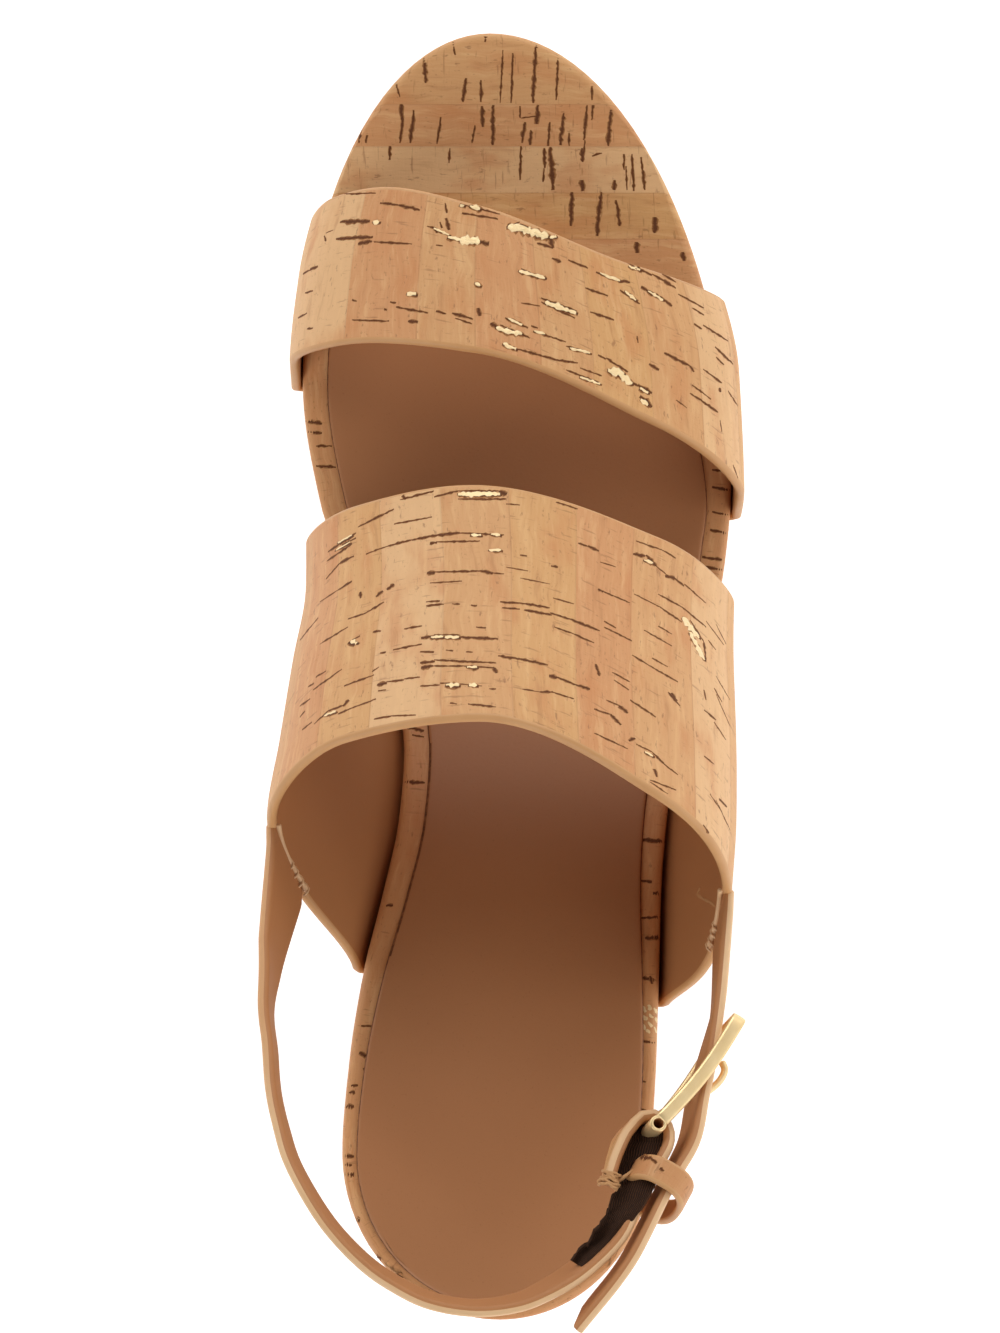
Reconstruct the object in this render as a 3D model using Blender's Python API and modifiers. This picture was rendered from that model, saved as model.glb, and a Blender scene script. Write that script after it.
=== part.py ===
"""Platform sandal for a right foot: a cork-covered platform and block heel, two wide cork straps
and a slingback with a buckle. Metres, +Z up, +Y towards the toe, +X towards the outer side.

Sizes are millimetres on a last whose y runs from the back of the heel (0) to the tip of the toe.
Medial is the inner, arch side of the foot and lateral the outer side.
"""

import math
from collections import namedtuple

import bmesh
import bpy
from mathutils import Matrix, Vector

MM = 0.001

# Driving sizes
SHOE_LENGTH = 235.4
HEEL_CENTRE_X = 0.0
TOE_TIP_X = -1.9
FOOTBED_THICKNESS = 6.0
OUTSOLE_THICKNESS = 3.0
HEEL_TIP_THICKNESS = 6.0
HEEL_BREAST_Y = 52.0
STRAP_THICKNESS = 1.8
STRAP_TAB = 10.0
SLING_WIDTH = 12.0
SLING_THICKNESS = 2.2
SOCK_THICKNESS = 1.8
SOCK_MARGIN = 4.6
SOCK_FRONT_Y = 189.0
GAP = 0.3
STRAP_GAP = 0.4

# Plan of the footbed: each edge from the widest part of the heel to the widest part of the ball
Edge = namedtuple("Edge", "y x")
MEDIAL_EDGE = [
    Edge(30.0, -28.4),
    Edge(46.0, -27.2),
    Edge(62.0, -24.7),
    Edge(76.0, -21.3),
    Edge(90.0, -18.4),
    Edge(102.0, -17.6),
    Edge(114.0, -19.8),
    Edge(130.0, -26.4),
    Edge(148.0, -33.6),
    Edge(170.0, -36.9),
]
LATERAL_EDGE = [
    Edge(30.0, 27.4),
    Edge(46.0, 28.2),
    Edge(62.0, 28.8),
    Edge(76.0, 29.3),
    Edge(91.0, 30.7),
    Edge(106.0, 33.6),
    Edge(120.0, 37.6),
    Edge(136.0, 41.8),
    Edge(152.0, 43.2),
]
TOE_POWER_MEDIAL = 2.0
TOE_POWER_LATERAL = 1.85

# Side view: the footbed's upper face, and the underside of the sole from toe to heel breast
Level = namedtuple("Level", "y z")
FOOTBED_TOP = [
    Level(0.0, 91.0),
    Level(30.0, 88.0),
    Level(55.0, 82.0),
    Level(80.0, 70.5),
    Level(105.0, 55.5),
    Level(130.0, 42.0),
    Level(150.0, 35.0),
    Level(170.0, 31.8),
    Level(195.0, 31.3),
    Level(215.0, 32.8),
    Level(SHOE_LENGTH, 36.4),
]
GROUND = [
    Level(HEEL_BREAST_Y, 68.5),
    Level(70.0, 60.0),
    Level(85.0, 49.0),
    Level(98.0, 35.5),
    Level(108.0, 23.5),
    Level(118.0, 11.0),
    Level(128.0, 2.6),
    Level(138.0, 0.0),
    Level(196.0, 0.0),
    Level(215.0, 2.2),
    Level(SHOE_LENGTH, 8.0),
]

# Sections of the last above the footbed: where its sides are widest, and its ridge
Section = namedtuple("Section", "y medial lateral side_height ridge_x ridge_height")
LAST = [
    Section(57.0, -38.0, 38.6, 29.0, -3.0, 84.0),
    Section(76.0, -39.2, 39.4, 30.0, -3.0, 81.0),
    Section(90.0, -39.9, 40.5, 30.0, -3.0, 76.5),
    Section(104.0, -37.9, 40.8, 28.0, -3.5, 71.0),
    Section(118.0, -35.9, 40.7, 24.0, -4.0, 64.5),
    Section(132.0, -33.8, 41.3, 18.0, -4.0, 57.0),
    Section(148.0, -34.2, 43.4, 13.0, -5.0, 48.5),
    Section(172.0, -37.3, 42.6, 10.0, -6.0, 38.5),
    Section(190.0, -35.6, 38.4, 8.0, -6.0, 31.0),
    Section(206.0, -31.8, 32.0, 6.0, -5.0, 24.0),
]
FLARE_POWER = 1.25

# Front and back edges of each strap, by how far round the foot they have turned:
# 0 at the medial edge of the footbed, 0.5 on the ridge, 1 at the lateral edge
Turn = namedtuple("Turn", "turn front back")
TOE_STRAP = [
    Turn(0.00, 205.0, 169.0),
    Turn(0.25, 206.0, 173.5),
    Turn(0.40, 205.0, 176.2),
    Turn(0.50, 201.8, 174.3),
    Turn(0.62, 190.5, 161.0),
    Turn(0.75, 185.0, 149.0),
    Turn(1.00, 184.0, 145.0),
]
INSTEP_STRAP = [
    Turn(0.00, 139.0, 63.0),
    Turn(0.12, 139.2, 74.5),
    Turn(0.25, 140.5, 89.0),
    Turn(0.38, 146.0, 103.5),
    Turn(0.50, 149.3, 107.3),
    Turn(0.62, 140.0, 94.0),
    Turn(0.75, 129.5, 76.0),
    Turn(0.88, 128.8, 63.0),
    Turn(1.00, 128.5, 57.0),
]
STRAP_COLUMNS = 6
ARCH_STEPS = 22

# The slingback's centreline in plan, and how far its upper edge leans out
Route = namedtuple("Route", "x y lean")
SLING_ROUTE = [
    Route(-40.9, 66.0, 12.0),
    Route(-41.2, 54.7, 4.0),
    Route(-39.7, 41.0, -4.0),
    Route(-35.1, 27.7, -8.0),
    Route(-24.8, 14.3, -8.0),
    Route(-10.4, 7.4, -6.0),
    Route(3.0, 6.9, -3.0),
    Route(13.2, 11.0, 0.0),
    Route(19.6, 18.0, 2.0),
    Route(23.6, 27.0, 2.0),
]
FOLD_BACK_ROUTE = [
    Route(19.6, 31.0, 0.0),
    Route(16.9, 25.5, 0.0),
    Route(14.8, 20.5, 0.0),
    Route(12.0, 15.6, 0.0),
]
BUCKLE_STRAP_ROUTE = [
    Route(38.2, 61.0, 5.0),
    Route(36.0, 50.5, 5.0),
    Route(34.1, 42.0, 6.0),
    Route(32.4, 34.0, 6.0),
    Route(29.6, 26.6, 4.0),
    Route(22.2, 14.0, 2.0),
    Route(14.8, 3.0, 0.0),
]
SLING_TOP_Z = 137.0
SLING_RISE = 0.605
SLING_LEVEL_Y = 12.0
ANCHOR_DEPTH = 13.0

# Buckle: the bar that the slingback folds round, and the frame's free end in front of it
HINGE = Route(25.8, 34.8, 0.0)
FREE_END = Route(40.6, 52.2, 0.0)
FRAME_HEIGHT = 15.6
FRAME_CORNER = 2.4
FRAME_RADIUS = 1.1
PRONG_RADIUS = 0.8
Pin = namedtuple("Pin", "share outward")
PRONG_PIN = [
    Pin(0.20, -0.6),
    Pin(0.40, 1.2),
    Pin(0.58, 4.2),
    Pin(0.76, 4.6),
    Pin(0.92, 3.0),
    Pin(1.03, 2.4),
]
Span = namedtuple("Span", "low high")
KEEPER_INSIDE = Span(-1.65, 8.0)
KEEPER_WIDTH = 6.0
KEEPER_THICKNESS = 1.4


def smooth(rows, column, flat_ends=False):
    """A function that follows one column of a table over its first column without overshooting."""
    xs = [row[0] for row in rows]
    ys = [getattr(row, column) for row in rows]
    rises = [(ys[i + 1] - ys[i]) / (xs[i + 1] - xs[i]) for i in range(len(xs) - 1)]
    slopes = [0.0 if flat_ends else rises[0]]
    for before, after in zip(rises, rises[1:]):
        slopes.append(2 * before * after / (before + after) if before * after > 0 else 0.0)
    slopes.append(0.0 if flat_ends else rises[-1])

    def value(x):
        x = min(max(x, xs[0]), xs[-1])
        i = max(k for k in range(len(xs) - 1) if k == 0 or xs[k] <= x)
        width = xs[i + 1] - xs[i]
        t = (x - xs[i]) / width
        start = (1 + 2 * t) * (1 - t) ** 2 * ys[i] + t * (1 - t) ** 2 * width * slopes[i]
        end = t * t * (3 - 2 * t) * ys[i + 1] + t * t * (t - 1) * width * slopes[i + 1]
        return start + end

    return value


def edge_function(rows, toe_power):
    """One edge of the footbed in plan, closed by an ellipse at the heel and a fuller curve at the toe."""
    waist = smooth(rows, "x", flat_ends=True)
    heel, ball = rows[0], rows[-1]

    def x_at(y):
        if y < heel.y:
            share = max(0.0, 1 - ((heel.y - y) / heel.y) ** 2)
            return HEEL_CENTRE_X + (heel.x - HEEL_CENTRE_X) * math.sqrt(share)
        if y > ball.y:
            share = max(0.0, 1 - ((y - ball.y) / (SHOE_LENGTH - ball.y)) ** toe_power)
            return TOE_TIP_X + (ball.x - TOE_TIP_X) * math.sqrt(share)
        return waist(y)

    return x_at


medial_x = edge_function(MEDIAL_EDGE, TOE_POWER_MEDIAL)
lateral_x = edge_function(LATERAL_EDGE, TOE_POWER_LATERAL)
footbed_top = smooth(FOOTBED_TOP, "z")
ground = smooth(GROUND, "z")
last_at = {name: smooth(LAST, name) for name in Section._fields[1:]}


def footbed_bottom(y):
    return footbed_top(y) - FOOTBED_THICKNESS


# Slabs: stacks of rings that follow the footbed's plan
def stations(back, front, step=7.5, round_steps=7):
    """Values of y from back to front, closer together where the plan rounds the heel and the toe."""
    heel_y, ball_y = MEDIAL_EDGE[0].y, MEDIAL_EDGE[-1].y
    turns = [math.pi / 2 * k / round_steps for k in range(round_steps + 1)]
    heel = [heel_y * (1 - math.cos(turn)) for turn in turns]
    toe = [ball_y + (SHOE_LENGTH - ball_y) * math.sin(turn) for turn in turns]
    count = round((ball_y - heel_y) / step)
    waist = [heel_y + (ball_y - heel_y) * k / count for k in range(1, count)]
    inside = [y for y in heel + waist + toe if back + 1 < y < front - 1]
    return [back, *inside, front]


def rail(x_at, inward_sign, ys, inset):
    """One edge of the plan as points, moved in from the footbed's edge by inset."""
    nudge = 0.2
    points = []
    for y in ys:
        if y in (0.0, SHOE_LENGTH):
            points.append(Vector((x_at(y), abs(y - inset))))
            continue
        ahead, behind = min(y + nudge, SHOE_LENGTH), max(y - nudge, 0.0)
        along = Vector((x_at(ahead) - x_at(behind), ahead - behind)).normalized()
        inward = Vector((along.y, -along.x)) * inward_sign
        points.append(Vector((x_at(y), y)) + inward * inset)
    for end in (0, -1):
        if ys[end] not in (0.0, SHOE_LENGTH):
            points[end].y = ys[end]
    return points


Ring = namedtuple("Ring", "inset level")


def slab(name, ys, rings):
    """A solid over the plan between two stations: rings from the underside up, closed by rungs."""
    mesh = bmesh.new()
    sides = []
    for ring in rings:
        pair = []
        for x_at, sign in ((medial_x, 1), (lateral_x, -1)):
            points = rail(x_at, sign, ys, ring.inset)
            pair.append([mesh.verts.new((p.x * MM, p.y * MM, ring.level(p.y) * MM)) for p in points])
        sides.append(pair)
    for (medial, lateral), (medial_up, lateral_up) in zip(sides, sides[1:]):
        for low, high in ((medial, medial_up), (lateral, lateral_up)):
            for i in range(len(ys) - 1):
                mesh.faces.new((low[i], low[i + 1], high[i + 1], high[i]))
        for end in (0, -1):
            if ys[end] not in (0.0, SHOE_LENGTH):
                mesh.faces.new((medial[end], medial_up[end], lateral_up[end], lateral[end]))
    for medial, lateral in (sides[0], sides[-1]):
        for i in range(len(ys) - 1):
            mesh.faces.new((medial[i], medial[i + 1], lateral[i + 1], lateral[i]))
    bmesh.ops.remove_doubles(mesh, verts=mesh.verts, dist=0.01 * MM)
    bmesh.ops.dissolve_degenerate(mesh, edges=mesh.edges, dist=0.01 * MM)
    bmesh.ops.recalc_face_normals(mesh, faces=mesh.faces)
    return to_object(name, mesh)


def to_object(name, mesh):
    data = bpy.data.meshes.new(name)
    mesh.to_mesh(data)
    mesh.free()
    data.shade_smooth()
    data.set_sharp_from_angle(angle=math.radians(40))
    return bpy.data.objects.new(name, data)


def flat(z):
    return lambda y: z


def raised(level, amount):
    return lambda y: level(y) + amount


def between(low, high, share):
    return lambda y: low(y) + (high(y) - low(y)) * share


def make_footbed():
    """Insole board with the cork sheet wrapped over its edge."""
    rings = [
        Ring(1.0, footbed_bottom),
        Ring(0.0, raised(footbed_bottom, 1.0)),
        Ring(0.0, raised(footbed_top, -2.2)),
        Ring(0.5, raised(footbed_top, -0.8)),
        Ring(2.0, footbed_top),
    ]
    return slab("footbed", stations(0.0, SHOE_LENGTH), rings)


def make_sock():
    """Leather insole sheet on the footbed, inside the cork rim, ending under the toe strap."""
    rings = [
        Ring(SOCK_MARGIN, raised(footbed_top, GAP)),
        Ring(SOCK_MARGIN, raised(footbed_top, GAP + 0.9)),
        Ring(SOCK_MARGIN + 1.3, raised(footbed_top, GAP + SOCK_THICKNESS)),
    ]
    return slab("insole_sock", stations(0.0, SOCK_FRONT_Y), rings)


def make_platform():
    """Cork-covered platform under the ball, thinning through the arch to the heel breast."""
    low = raised(ground, OUTSOLE_THICKNESS + GAP)
    high = raised(footbed_bottom, -GAP)
    rings = [
        Ring(3.4, low),
        Ring(2.6, between(low, high, 0.06)),
        Ring(1.2, between(low, high, 0.55)),
        Ring(0.6, between(low, high, 0.92)),
        Ring(1.4, high),
    ]
    return slab("platform", stations(HEEL_BREAST_Y + GAP, SHOE_LENGTH), rings)


def make_outsole():
    """Rubber sheet under the platform, flat under the ball and sprung up at the toe."""
    high = raised(ground, OUTSOLE_THICKNESS)
    rings = [
        Ring(4.6, ground),
        Ring(3.6, raised(ground, 1.0)),
        Ring(3.2, high),
    ]
    return slab("outsole", stations(HEEL_BREAST_Y + GAP, SHOE_LENGTH), rings)


def make_heel():
    """Cork-covered block heel, cut to the footbed above and a little tapered to its foot."""
    foot = flat(HEEL_TIP_THICKNESS + GAP)
    high = raised(footbed_bottom, -GAP)
    rings = [
        Ring(3.8, foot),
        Ring(3.2, between(foot, high, 0.25)),
        Ring(2.4, between(foot, high, 0.6)),
        Ring(1.2, between(foot, high, 0.9)),
        Ring(0.9, high),
    ]
    return slab("heel", stations(0.0, HEEL_BREAST_Y), rings)


def make_heel_tip():
    """Rubber top piece that the heel stands on."""
    rings = [
        Ring(4.6, flat(0.0)),
        Ring(3.9, flat(0.8)),
        Ring(3.9, flat(HEEL_TIP_THICKNESS)),
    ]
    return slab("heel_tip", stations(0.0, HEEL_BREAST_Y), rings)


# Straps: sheets wrapped over the last, with their ends turned under the footbed
def last_point(turn, y):
    """A point on the last's skin at a turn round the foot, from one edge of the footbed to the other."""
    medial_side = turn < 0.5
    side_x = last_at["medial" if medial_side else "lateral"](y)
    foot_x = medial_x(y) - STRAP_GAP if medial_side else lateral_x(y) + STRAP_GAP
    foot_z = footbed_bottom(y) + 1.0
    side_z = footbed_top(y) + last_at["side_height"](y)
    ridge_x, ridge_z = last_at["ridge_x"](y), footbed_top(y) + last_at["ridge_height"](y)
    rise = 4 * min(turn, 1 - turn)
    if rise < 1:
        flare = math.sin(rise * math.pi / 2) ** FLARE_POWER
        return Vector((foot_x + (side_x - foot_x) * flare, y, foot_z + (side_z - foot_z) * rise))
    angle = (rise - 1) * math.pi / 2
    return Vector((
        ridge_x + (side_x - ridge_x) * math.cos(angle),
        y,
        side_z + (ridge_z - side_z) * math.sin(angle),
    ))


def tab_points(y, side, reach):
    """The strap's end from under the footbed round its lower edge, against the foot side."""
    edge = medial_x(y) if side < 0 else lateral_x(y)
    centre_x, centre_z = edge - side * 1.0, footbed_bottom(y) + 1.0
    radius = 1.0 + STRAP_GAP
    flat = [Vector((centre_x - side * d, y, centre_z - radius)) for d in (reach, reach * 0.5)]
    bend = []
    for degrees in (-90, -60, -30):
        turn = math.radians(degrees)
        bend.append(Vector((centre_x + side * radius * math.cos(turn), y, centre_z + radius * math.sin(turn))))
    return flat + bend


def strap_sheet(name, table, grow=0.0):
    """The inner face of a strap as an open sheet, front edge to back edge; grow widens it all round."""
    front, back = smooth(table, "front"), smooth(table, "back")

    def y_at(turn, share):
        return front(turn) + grow + (back(turn) - front(turn) - 2 * grow) * share

    turns = [k / ARCH_STEPS for k in range(ARCH_STEPS + 1)]
    columns = []
    for k in range(STRAP_COLUMNS + 1):
        share = k / STRAP_COLUMNS
        medial = tab_points(y_at(0.0, share), -1, STRAP_TAB + grow)
        lateral = tab_points(y_at(1.0, share), 1, STRAP_TAB + grow)
        arch = [last_point(turn, y_at(turn, share)) for turn in turns]
        columns.append(medial + arch + lateral[::-1])
    return sheet(name, columns)


def sheet(name, columns):
    """An open grid of quads through columns of points."""
    mesh = bmesh.new()
    rows = len(columns[0])
    made = bmesh.ops.create_grid(mesh, x_segments=len(columns) - 1, y_segments=rows - 1, size=1.0)["verts"]
    ordered = sorted(made, key=lambda v: (round(v.co.x, 4), round(v.co.y, 4)))
    for vert, point in zip(ordered, (p for column in columns for p in column)):
        vert.co = point * MM
    return to_object(name, mesh)


def thicken(obj, thickness, offset):
    solid = obj.modifiers.new("wall", "SOLIDIFY")
    solid.thickness = thickness * MM
    solid.offset = offset
    solid.use_even_offset = True
    return obj


def round_edges(obj, width, segments=2):
    bevel = obj.modifiers.new("edge", "BEVEL")
    bevel.width = width * MM
    bevel.segments = segments
    bevel.limit_method = "ANGLE"
    bevel.angle_limit = math.radians(50)
    bevel.use_clamp_overlap = False
    return obj


def make_strap(name, table):
    """A cork strap over the foot, one wall of even thickness outside the last."""
    return round_edges(thicken(strap_sheet(name, table), STRAP_THICKNESS, 1.0), 0.6)


def cut_strap_seats(platform, cutters):
    """Seats in the platform's upper face for the strap ends that are held under the footbed."""
    wall = STRAP_THICKNESS + 2 * GAP
    for name, table in (("toe_strap_seat", TOE_STRAP), ("instep_strap_seat", INSTEP_STRAP)):
        cutter = thicken(strap_sheet(name, table, grow=GAP), wall, 1 - 2 * GAP / wall)
        cut(platform, cutter, cutters)


# Slingback: flat strips that run along a route at the height of the sling
def sling_height(y):
    """Height of the sling's centreline: a straight rise to the back of the heel, levelling off there."""
    rise = SLING_TOP_Z - SLING_RISE * (y - SLING_LEVEL_Y)
    level = SLING_TOP_Z + 1.5
    softness = 4.0
    return level - softness * math.log1p(math.exp((level - rise) / softness))


def route_points(route):
    return [Vector((row.x, row.y, sling_height(row.y))) for row in route]


def through(points, per_span=5):
    """A smooth curve through points, as a longer list of points."""
    padded = [2 * points[0] - points[1], *points, 2 * points[-1] - points[-2]]
    found = []
    for a, b, c, d in zip(padded, padded[1:], padded[2:], padded[3:]):
        for k in range(per_span):
            t = k / per_span
            found.append(0.5 * (2 * b + (c - a) * t + (2 * a - 5 * b + 4 * c - d) * t * t
                                + (3 * b - 3 * c + d - a) * t ** 3))
    return [*found, points[-1]]


def width_vector(along, outward, lean):
    """The direction across a strip: up, leaned out by an angle in degrees, square to its run."""
    angle = math.radians(lean)
    across = Vector((0, 0, 1)) * math.cos(angle) + outward * math.sin(angle)
    return (across - along * across.dot(along)).normalized()


def strip_edges(route, per_span=5, outward_sign=1):
    """Upper and lower edge of a strip along a route. The sign turns its right-hand side outward."""
    points = through(route_points(route), per_span)
    leans = [lean.x for lean in through([Vector((row.lean, 0, 0)) for row in route], per_span)]
    edges = []
    for i, point in enumerate(points):
        along = (points[min(i + 1, len(points) - 1)] - points[max(i - 1, 0)]).normalized()
        outward = Vector((along.y, -along.x, 0)).normalized() * outward_sign
        across = width_vector(along, outward, leans[i]) * SLING_WIDTH / 2
        edges.append((point + across, point - across))
    return edges


def anchor_edges(upper_turn, lower_turn):
    """The end of a strip held inside the instep strap's back edge, as upper and lower edge points."""
    back = smooth(INSTEP_STRAP, "back")
    inset = GAP + 0.1 + SLING_THICKNESS / 2
    edges = []
    for depth in (ANCHOR_DEPTH, ANCHOR_DEPTH * 0.6, ANCHOR_DEPTH * 0.2, -2.5):
        pair = []
        for turn in (upper_turn, lower_turn):
            y = back(turn) + depth
            point = last_point(turn, y)
            across = last_point(turn + 0.01, y) - last_point(turn - 0.01, y)
            along = last_point(turn, y + 1.0) - last_point(turn, y - 1.0)
            inward = across.cross(along).normalized()
            if inward.x * point.x > 0:
                inward.negate()
            pair.append(point + inward * inset)
        edges.append(tuple(pair))
    return edges


def strip(name, edges, width_steps=2):
    """A flat strip of the sling's thickness between two edge lines."""
    columns = []
    for k in range(width_steps + 1):
        share = k / width_steps
        columns.append([upper.lerp(lower, share) for upper, lower in edges])
    return round_edges(thicken(sheet(name, columns), SLING_THICKNESS, 0.0), 0.6)


def buckle_axes():
    """The buckle's middle, its long axis towards the free end, its bar's direction and its outward side."""
    hinge, free_end = route_points([HINGE, FREE_END])
    along = (free_end - hinge).normalized()
    bar = width_vector(along, Vector((1, 0, 0)), 0.0)
    outward = along.cross(bar)
    if outward.x < 0:
        outward.negate()
    return hinge, free_end, along, bar, outward


def fold_edges():
    """The sling's end turned round the buckle's bar."""
    hinge, _, along, bar, outward = buckle_axes()
    radius = FRAME_RADIUS + GAP + SLING_THICKNESS / 2
    across = bar * SLING_WIDTH / 2
    edges = []
    for degrees in range(0, 181, 30):
        turn = math.radians(degrees)
        centre = hinge + (outward * math.cos(turn) + along * math.sin(turn)) * radius
        edges.append((centre + across, centre - across))
    return edges


def make_sling():
    """Strap from the instep strap's inner side round the heel to the buckle, folded back on itself."""
    run = strip_edges(SLING_ROUTE, outward_sign=-1)
    fold_back = strip_edges(FOLD_BACK_ROUTE, per_span=3)
    return strip("sling_strap", anchor_edges(0.245, 0.15) + run + fold_edges() + fold_back)


def cut(target, cutter, cutters):
    """Take a helper solid away from a part, and keep the helper hidden."""
    cutter.hide_render = True
    cutter.display_type = "WIRE"
    cutters.objects.link(cutter)
    step = target.modifiers.new(cutter.name, "BOOLEAN")
    step.object = cutter
    step.operation = "DIFFERENCE"


def make_prong_slot():
    """Slot in the sling's fold for the prong's eye."""
    hinge, _, along, bar, outward = buckle_axes()
    mesh = bmesh.new()
    bmesh.ops.create_cube(mesh, size=1.0)
    for vert in mesh.verts:
        across = bar * vert.co.z * 3.4
        vert.co = (hinge + along * (vert.co.x * 11.0 + 1.0) + outward * vert.co.y * 12.0 + across) * MM
    mesh.normal_update()
    bmesh.ops.recalc_face_normals(mesh, faces=mesh.faces)
    return to_object("prong_slot", mesh)


def make_prong_hole():
    """Hole in the buckle strap where the prong goes through it."""
    pin, _ = prong_points()
    hole = tube("prong_hole", pin, PRONG_RADIUS + GAP)
    mesh = bpy.data.meshes.new_from_object(hole)
    bpy.data.objects.remove(hole)
    return bpy.data.objects.new("prong_hole", mesh)


def make_buckle_strap():
    """Strap from the instep strap's outer side through the buckle, with its free end behind the keeper."""
    return strip("buckle_strap", anchor_edges(0.742, 0.826) + strip_edges(BUCKLE_STRAP_ROUTE))


def tube(name, points, radius, closed=False):
    """A round bar along points."""
    curve = bpy.data.curves.new(name, "CURVE")
    curve.dimensions = "3D"
    curve.bevel_depth = radius * MM
    curve.bevel_resolution = 2
    curve.use_fill_caps = True
    spline = curve.splines.new("POLY")
    spline.points.add(len(points) - 1)
    for target, point in zip(spline.points, points):
        target.co = (*(point * MM), 1.0)
    spline.use_cyclic_u = closed
    return bpy.data.objects.new(name, curve)


def rounded_rectangle(centre, long_axis, short_axis, length, height, corner, steps=3):
    """Points round a rectangle with rounded corners."""
    points = []
    corners = ((1, 1, 0), (-1, 1, 90), (-1, -1, 180), (1, -1, 270))
    for sign_long, sign_short, start in corners:
        middle = (centre + long_axis * sign_long * (length / 2 - corner)
                  + short_axis * sign_short * (height / 2 - corner))
        for k in range(steps + 1):
            turn = math.radians(start + 90 * k / steps)
            points.append(middle + (long_axis * math.cos(turn) + short_axis * math.sin(turn)) * corner)
    return points


def make_buckle_frame():
    """Rectangular wire frame; its back bar is the hinge."""
    hinge, free_end, along, bar, _ = buckle_axes()
    length = (free_end - hinge).length
    points = rounded_rectangle((hinge + free_end) / 2, along, bar, length, FRAME_HEIGHT, FRAME_CORNER)
    return tube("buckle_frame", points, FRAME_RADIUS, closed=True)


def prong_points():
    """The prong: an eye bent round the hinge bar, then a bowed pin to the outside of the free end."""
    hinge, free_end, along, _, outward = buckle_axes()
    radius = FRAME_RADIUS + GAP + PRONG_RADIUS
    eye = []
    for degrees in range(-120, 136, 32):
        turn = math.radians(degrees)
        eye.append(hinge + (-along * math.cos(turn) - outward * math.sin(turn)) * radius)
    length = (free_end - hinge).length
    pin = [hinge + along * length * row.share + outward * row.outward for row in PRONG_PIN]
    return through([eye[-1], *pin], per_span=3), eye


def make_prong():
    pin, eye = prong_points()
    return tube("buckle_prong", eye[:-1] + pin, PRONG_RADIUS)


def make_keeper():
    """Cork loop round the sling and the free end of the buckle strap."""
    centre = route_points(SLING_ROUTE)[-1]
    along = (buckle_axes()[0] - centre).normalized()
    across = width_vector(along, Vector((1, 0, 0)), 2.0)
    outward = along.cross(across)
    if outward.x < 0:
        outward.negate()
    depth = KEEPER_INSIDE.high - KEEPER_INSIDE.low + KEEPER_THICKNESS
    height = SLING_WIDTH + 3.0 + KEEPER_THICKNESS
    middle = centre + outward * (KEEPER_INSIDE.low + KEEPER_INSIDE.high) / 2 + across * 0.6
    ring = rounded_rectangle(middle, outward, across, depth, height, 2.2, steps=4)
    columns = [[point + along * KEEPER_WIDTH * share for point in [*ring, ring[0]]] for share in (-0.5, 0.5)]
    keeper = sheet("keeper_loop", columns)
    weld = keeper.modifiers.new("join", "WELD")
    weld.merge_threshold = 0.01 * MM
    return round_edges(thicken(keeper, KEEPER_THICKNESS, 0.0), 0.4)


# Materials and assembly
Finish = namedtuple("Finish", "color roughness metallic")
FINISHES = {
    "cork": Finish((0.58, 0.35, 0.16), 0.6, 0.0),
    "insole_leather": Finish((0.30, 0.14, 0.065), 0.5, 0.0),
    "rubber": Finish((0.16, 0.09, 0.05), 0.8, 0.0),
    "gold_metal": Finish((0.86, 0.68, 0.36), 0.25, 1.0),
}


def material(name):
    finish = FINISHES[name]
    made = bpy.data.materials.new(name)
    made.use_nodes = True
    shader = made.node_tree.nodes["Principled BSDF"]
    shader.inputs["Base Color"].default_value = (*finish.color, 1.0)
    shader.inputs["Roughness"].default_value = finish.roughness
    shader.inputs["Metallic"].default_value = finish.metallic
    return made


def stand_at_origin(parts, cutters):
    """Move everything so that the sandal's box stands centred on the origin."""
    depsgraph = bpy.context.evaluated_depsgraph_get()
    points = []
    for obj in parts.objects:
        finished = obj.evaluated_get(depsgraph)
        points += [vert.co.copy() for vert in finished.to_mesh().vertices]
        finished.to_mesh_clear()
    low = Vector([min(point[axis] for point in points) for axis in range(3)])
    high = Vector([max(point[axis] for point in points) for axis in range(3)])
    shift = Vector((-(low.x + high.x) / 2, -(low.y + high.y) / 2, -low.z))
    for obj in (*parts.objects, *cutters.objects):
        obj.data.transform(Matrix.Translation(shift))


def main():
    for obj in list(bpy.data.objects):
        bpy.data.objects.remove(obj)
    parts = bpy.data.collections.new("platform_sandal")
    cutters = bpy.data.collections.new("cutters")
    for collection in (parts, cutters):
        bpy.context.scene.collection.children.link(collection)
    platform, sling, buckle_strap = make_platform(), make_sling(), make_buckle_strap()
    cut_strap_seats(platform, cutters)
    cut(sling, make_prong_slot(), cutters)
    cut(buckle_strap, make_prong_hole(), cutters)
    pieces = [
        (make_outsole(), "rubber"),
        (platform, "cork"),
        (make_heel(), "cork"),
        (make_heel_tip(), "rubber"),
        (make_footbed(), "cork"),
        (make_sock(), "insole_leather"),
        (make_strap("toe_strap", TOE_STRAP), "cork"),
        (make_strap("instep_strap", INSTEP_STRAP), "cork"),
        (sling, "cork"),
        (buckle_strap, "cork"),
        (make_keeper(), "cork"),
        (make_buckle_frame(), "gold_metal"),
        (make_prong(), "gold_metal"),
    ]
    finishes = {name: material(name) for name in FINISHES}
    for obj, finish in pieces:
        obj.data.materials.append(finishes[finish])
        parts.objects.link(obj)
    stand_at_origin(parts, cutters)


main()
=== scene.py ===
import bisect
import math
import random

import bmesh
import bpy
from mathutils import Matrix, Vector
from mathutils.bvhtree import BVHTree
from mathutils.kdtree import KDTree


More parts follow.
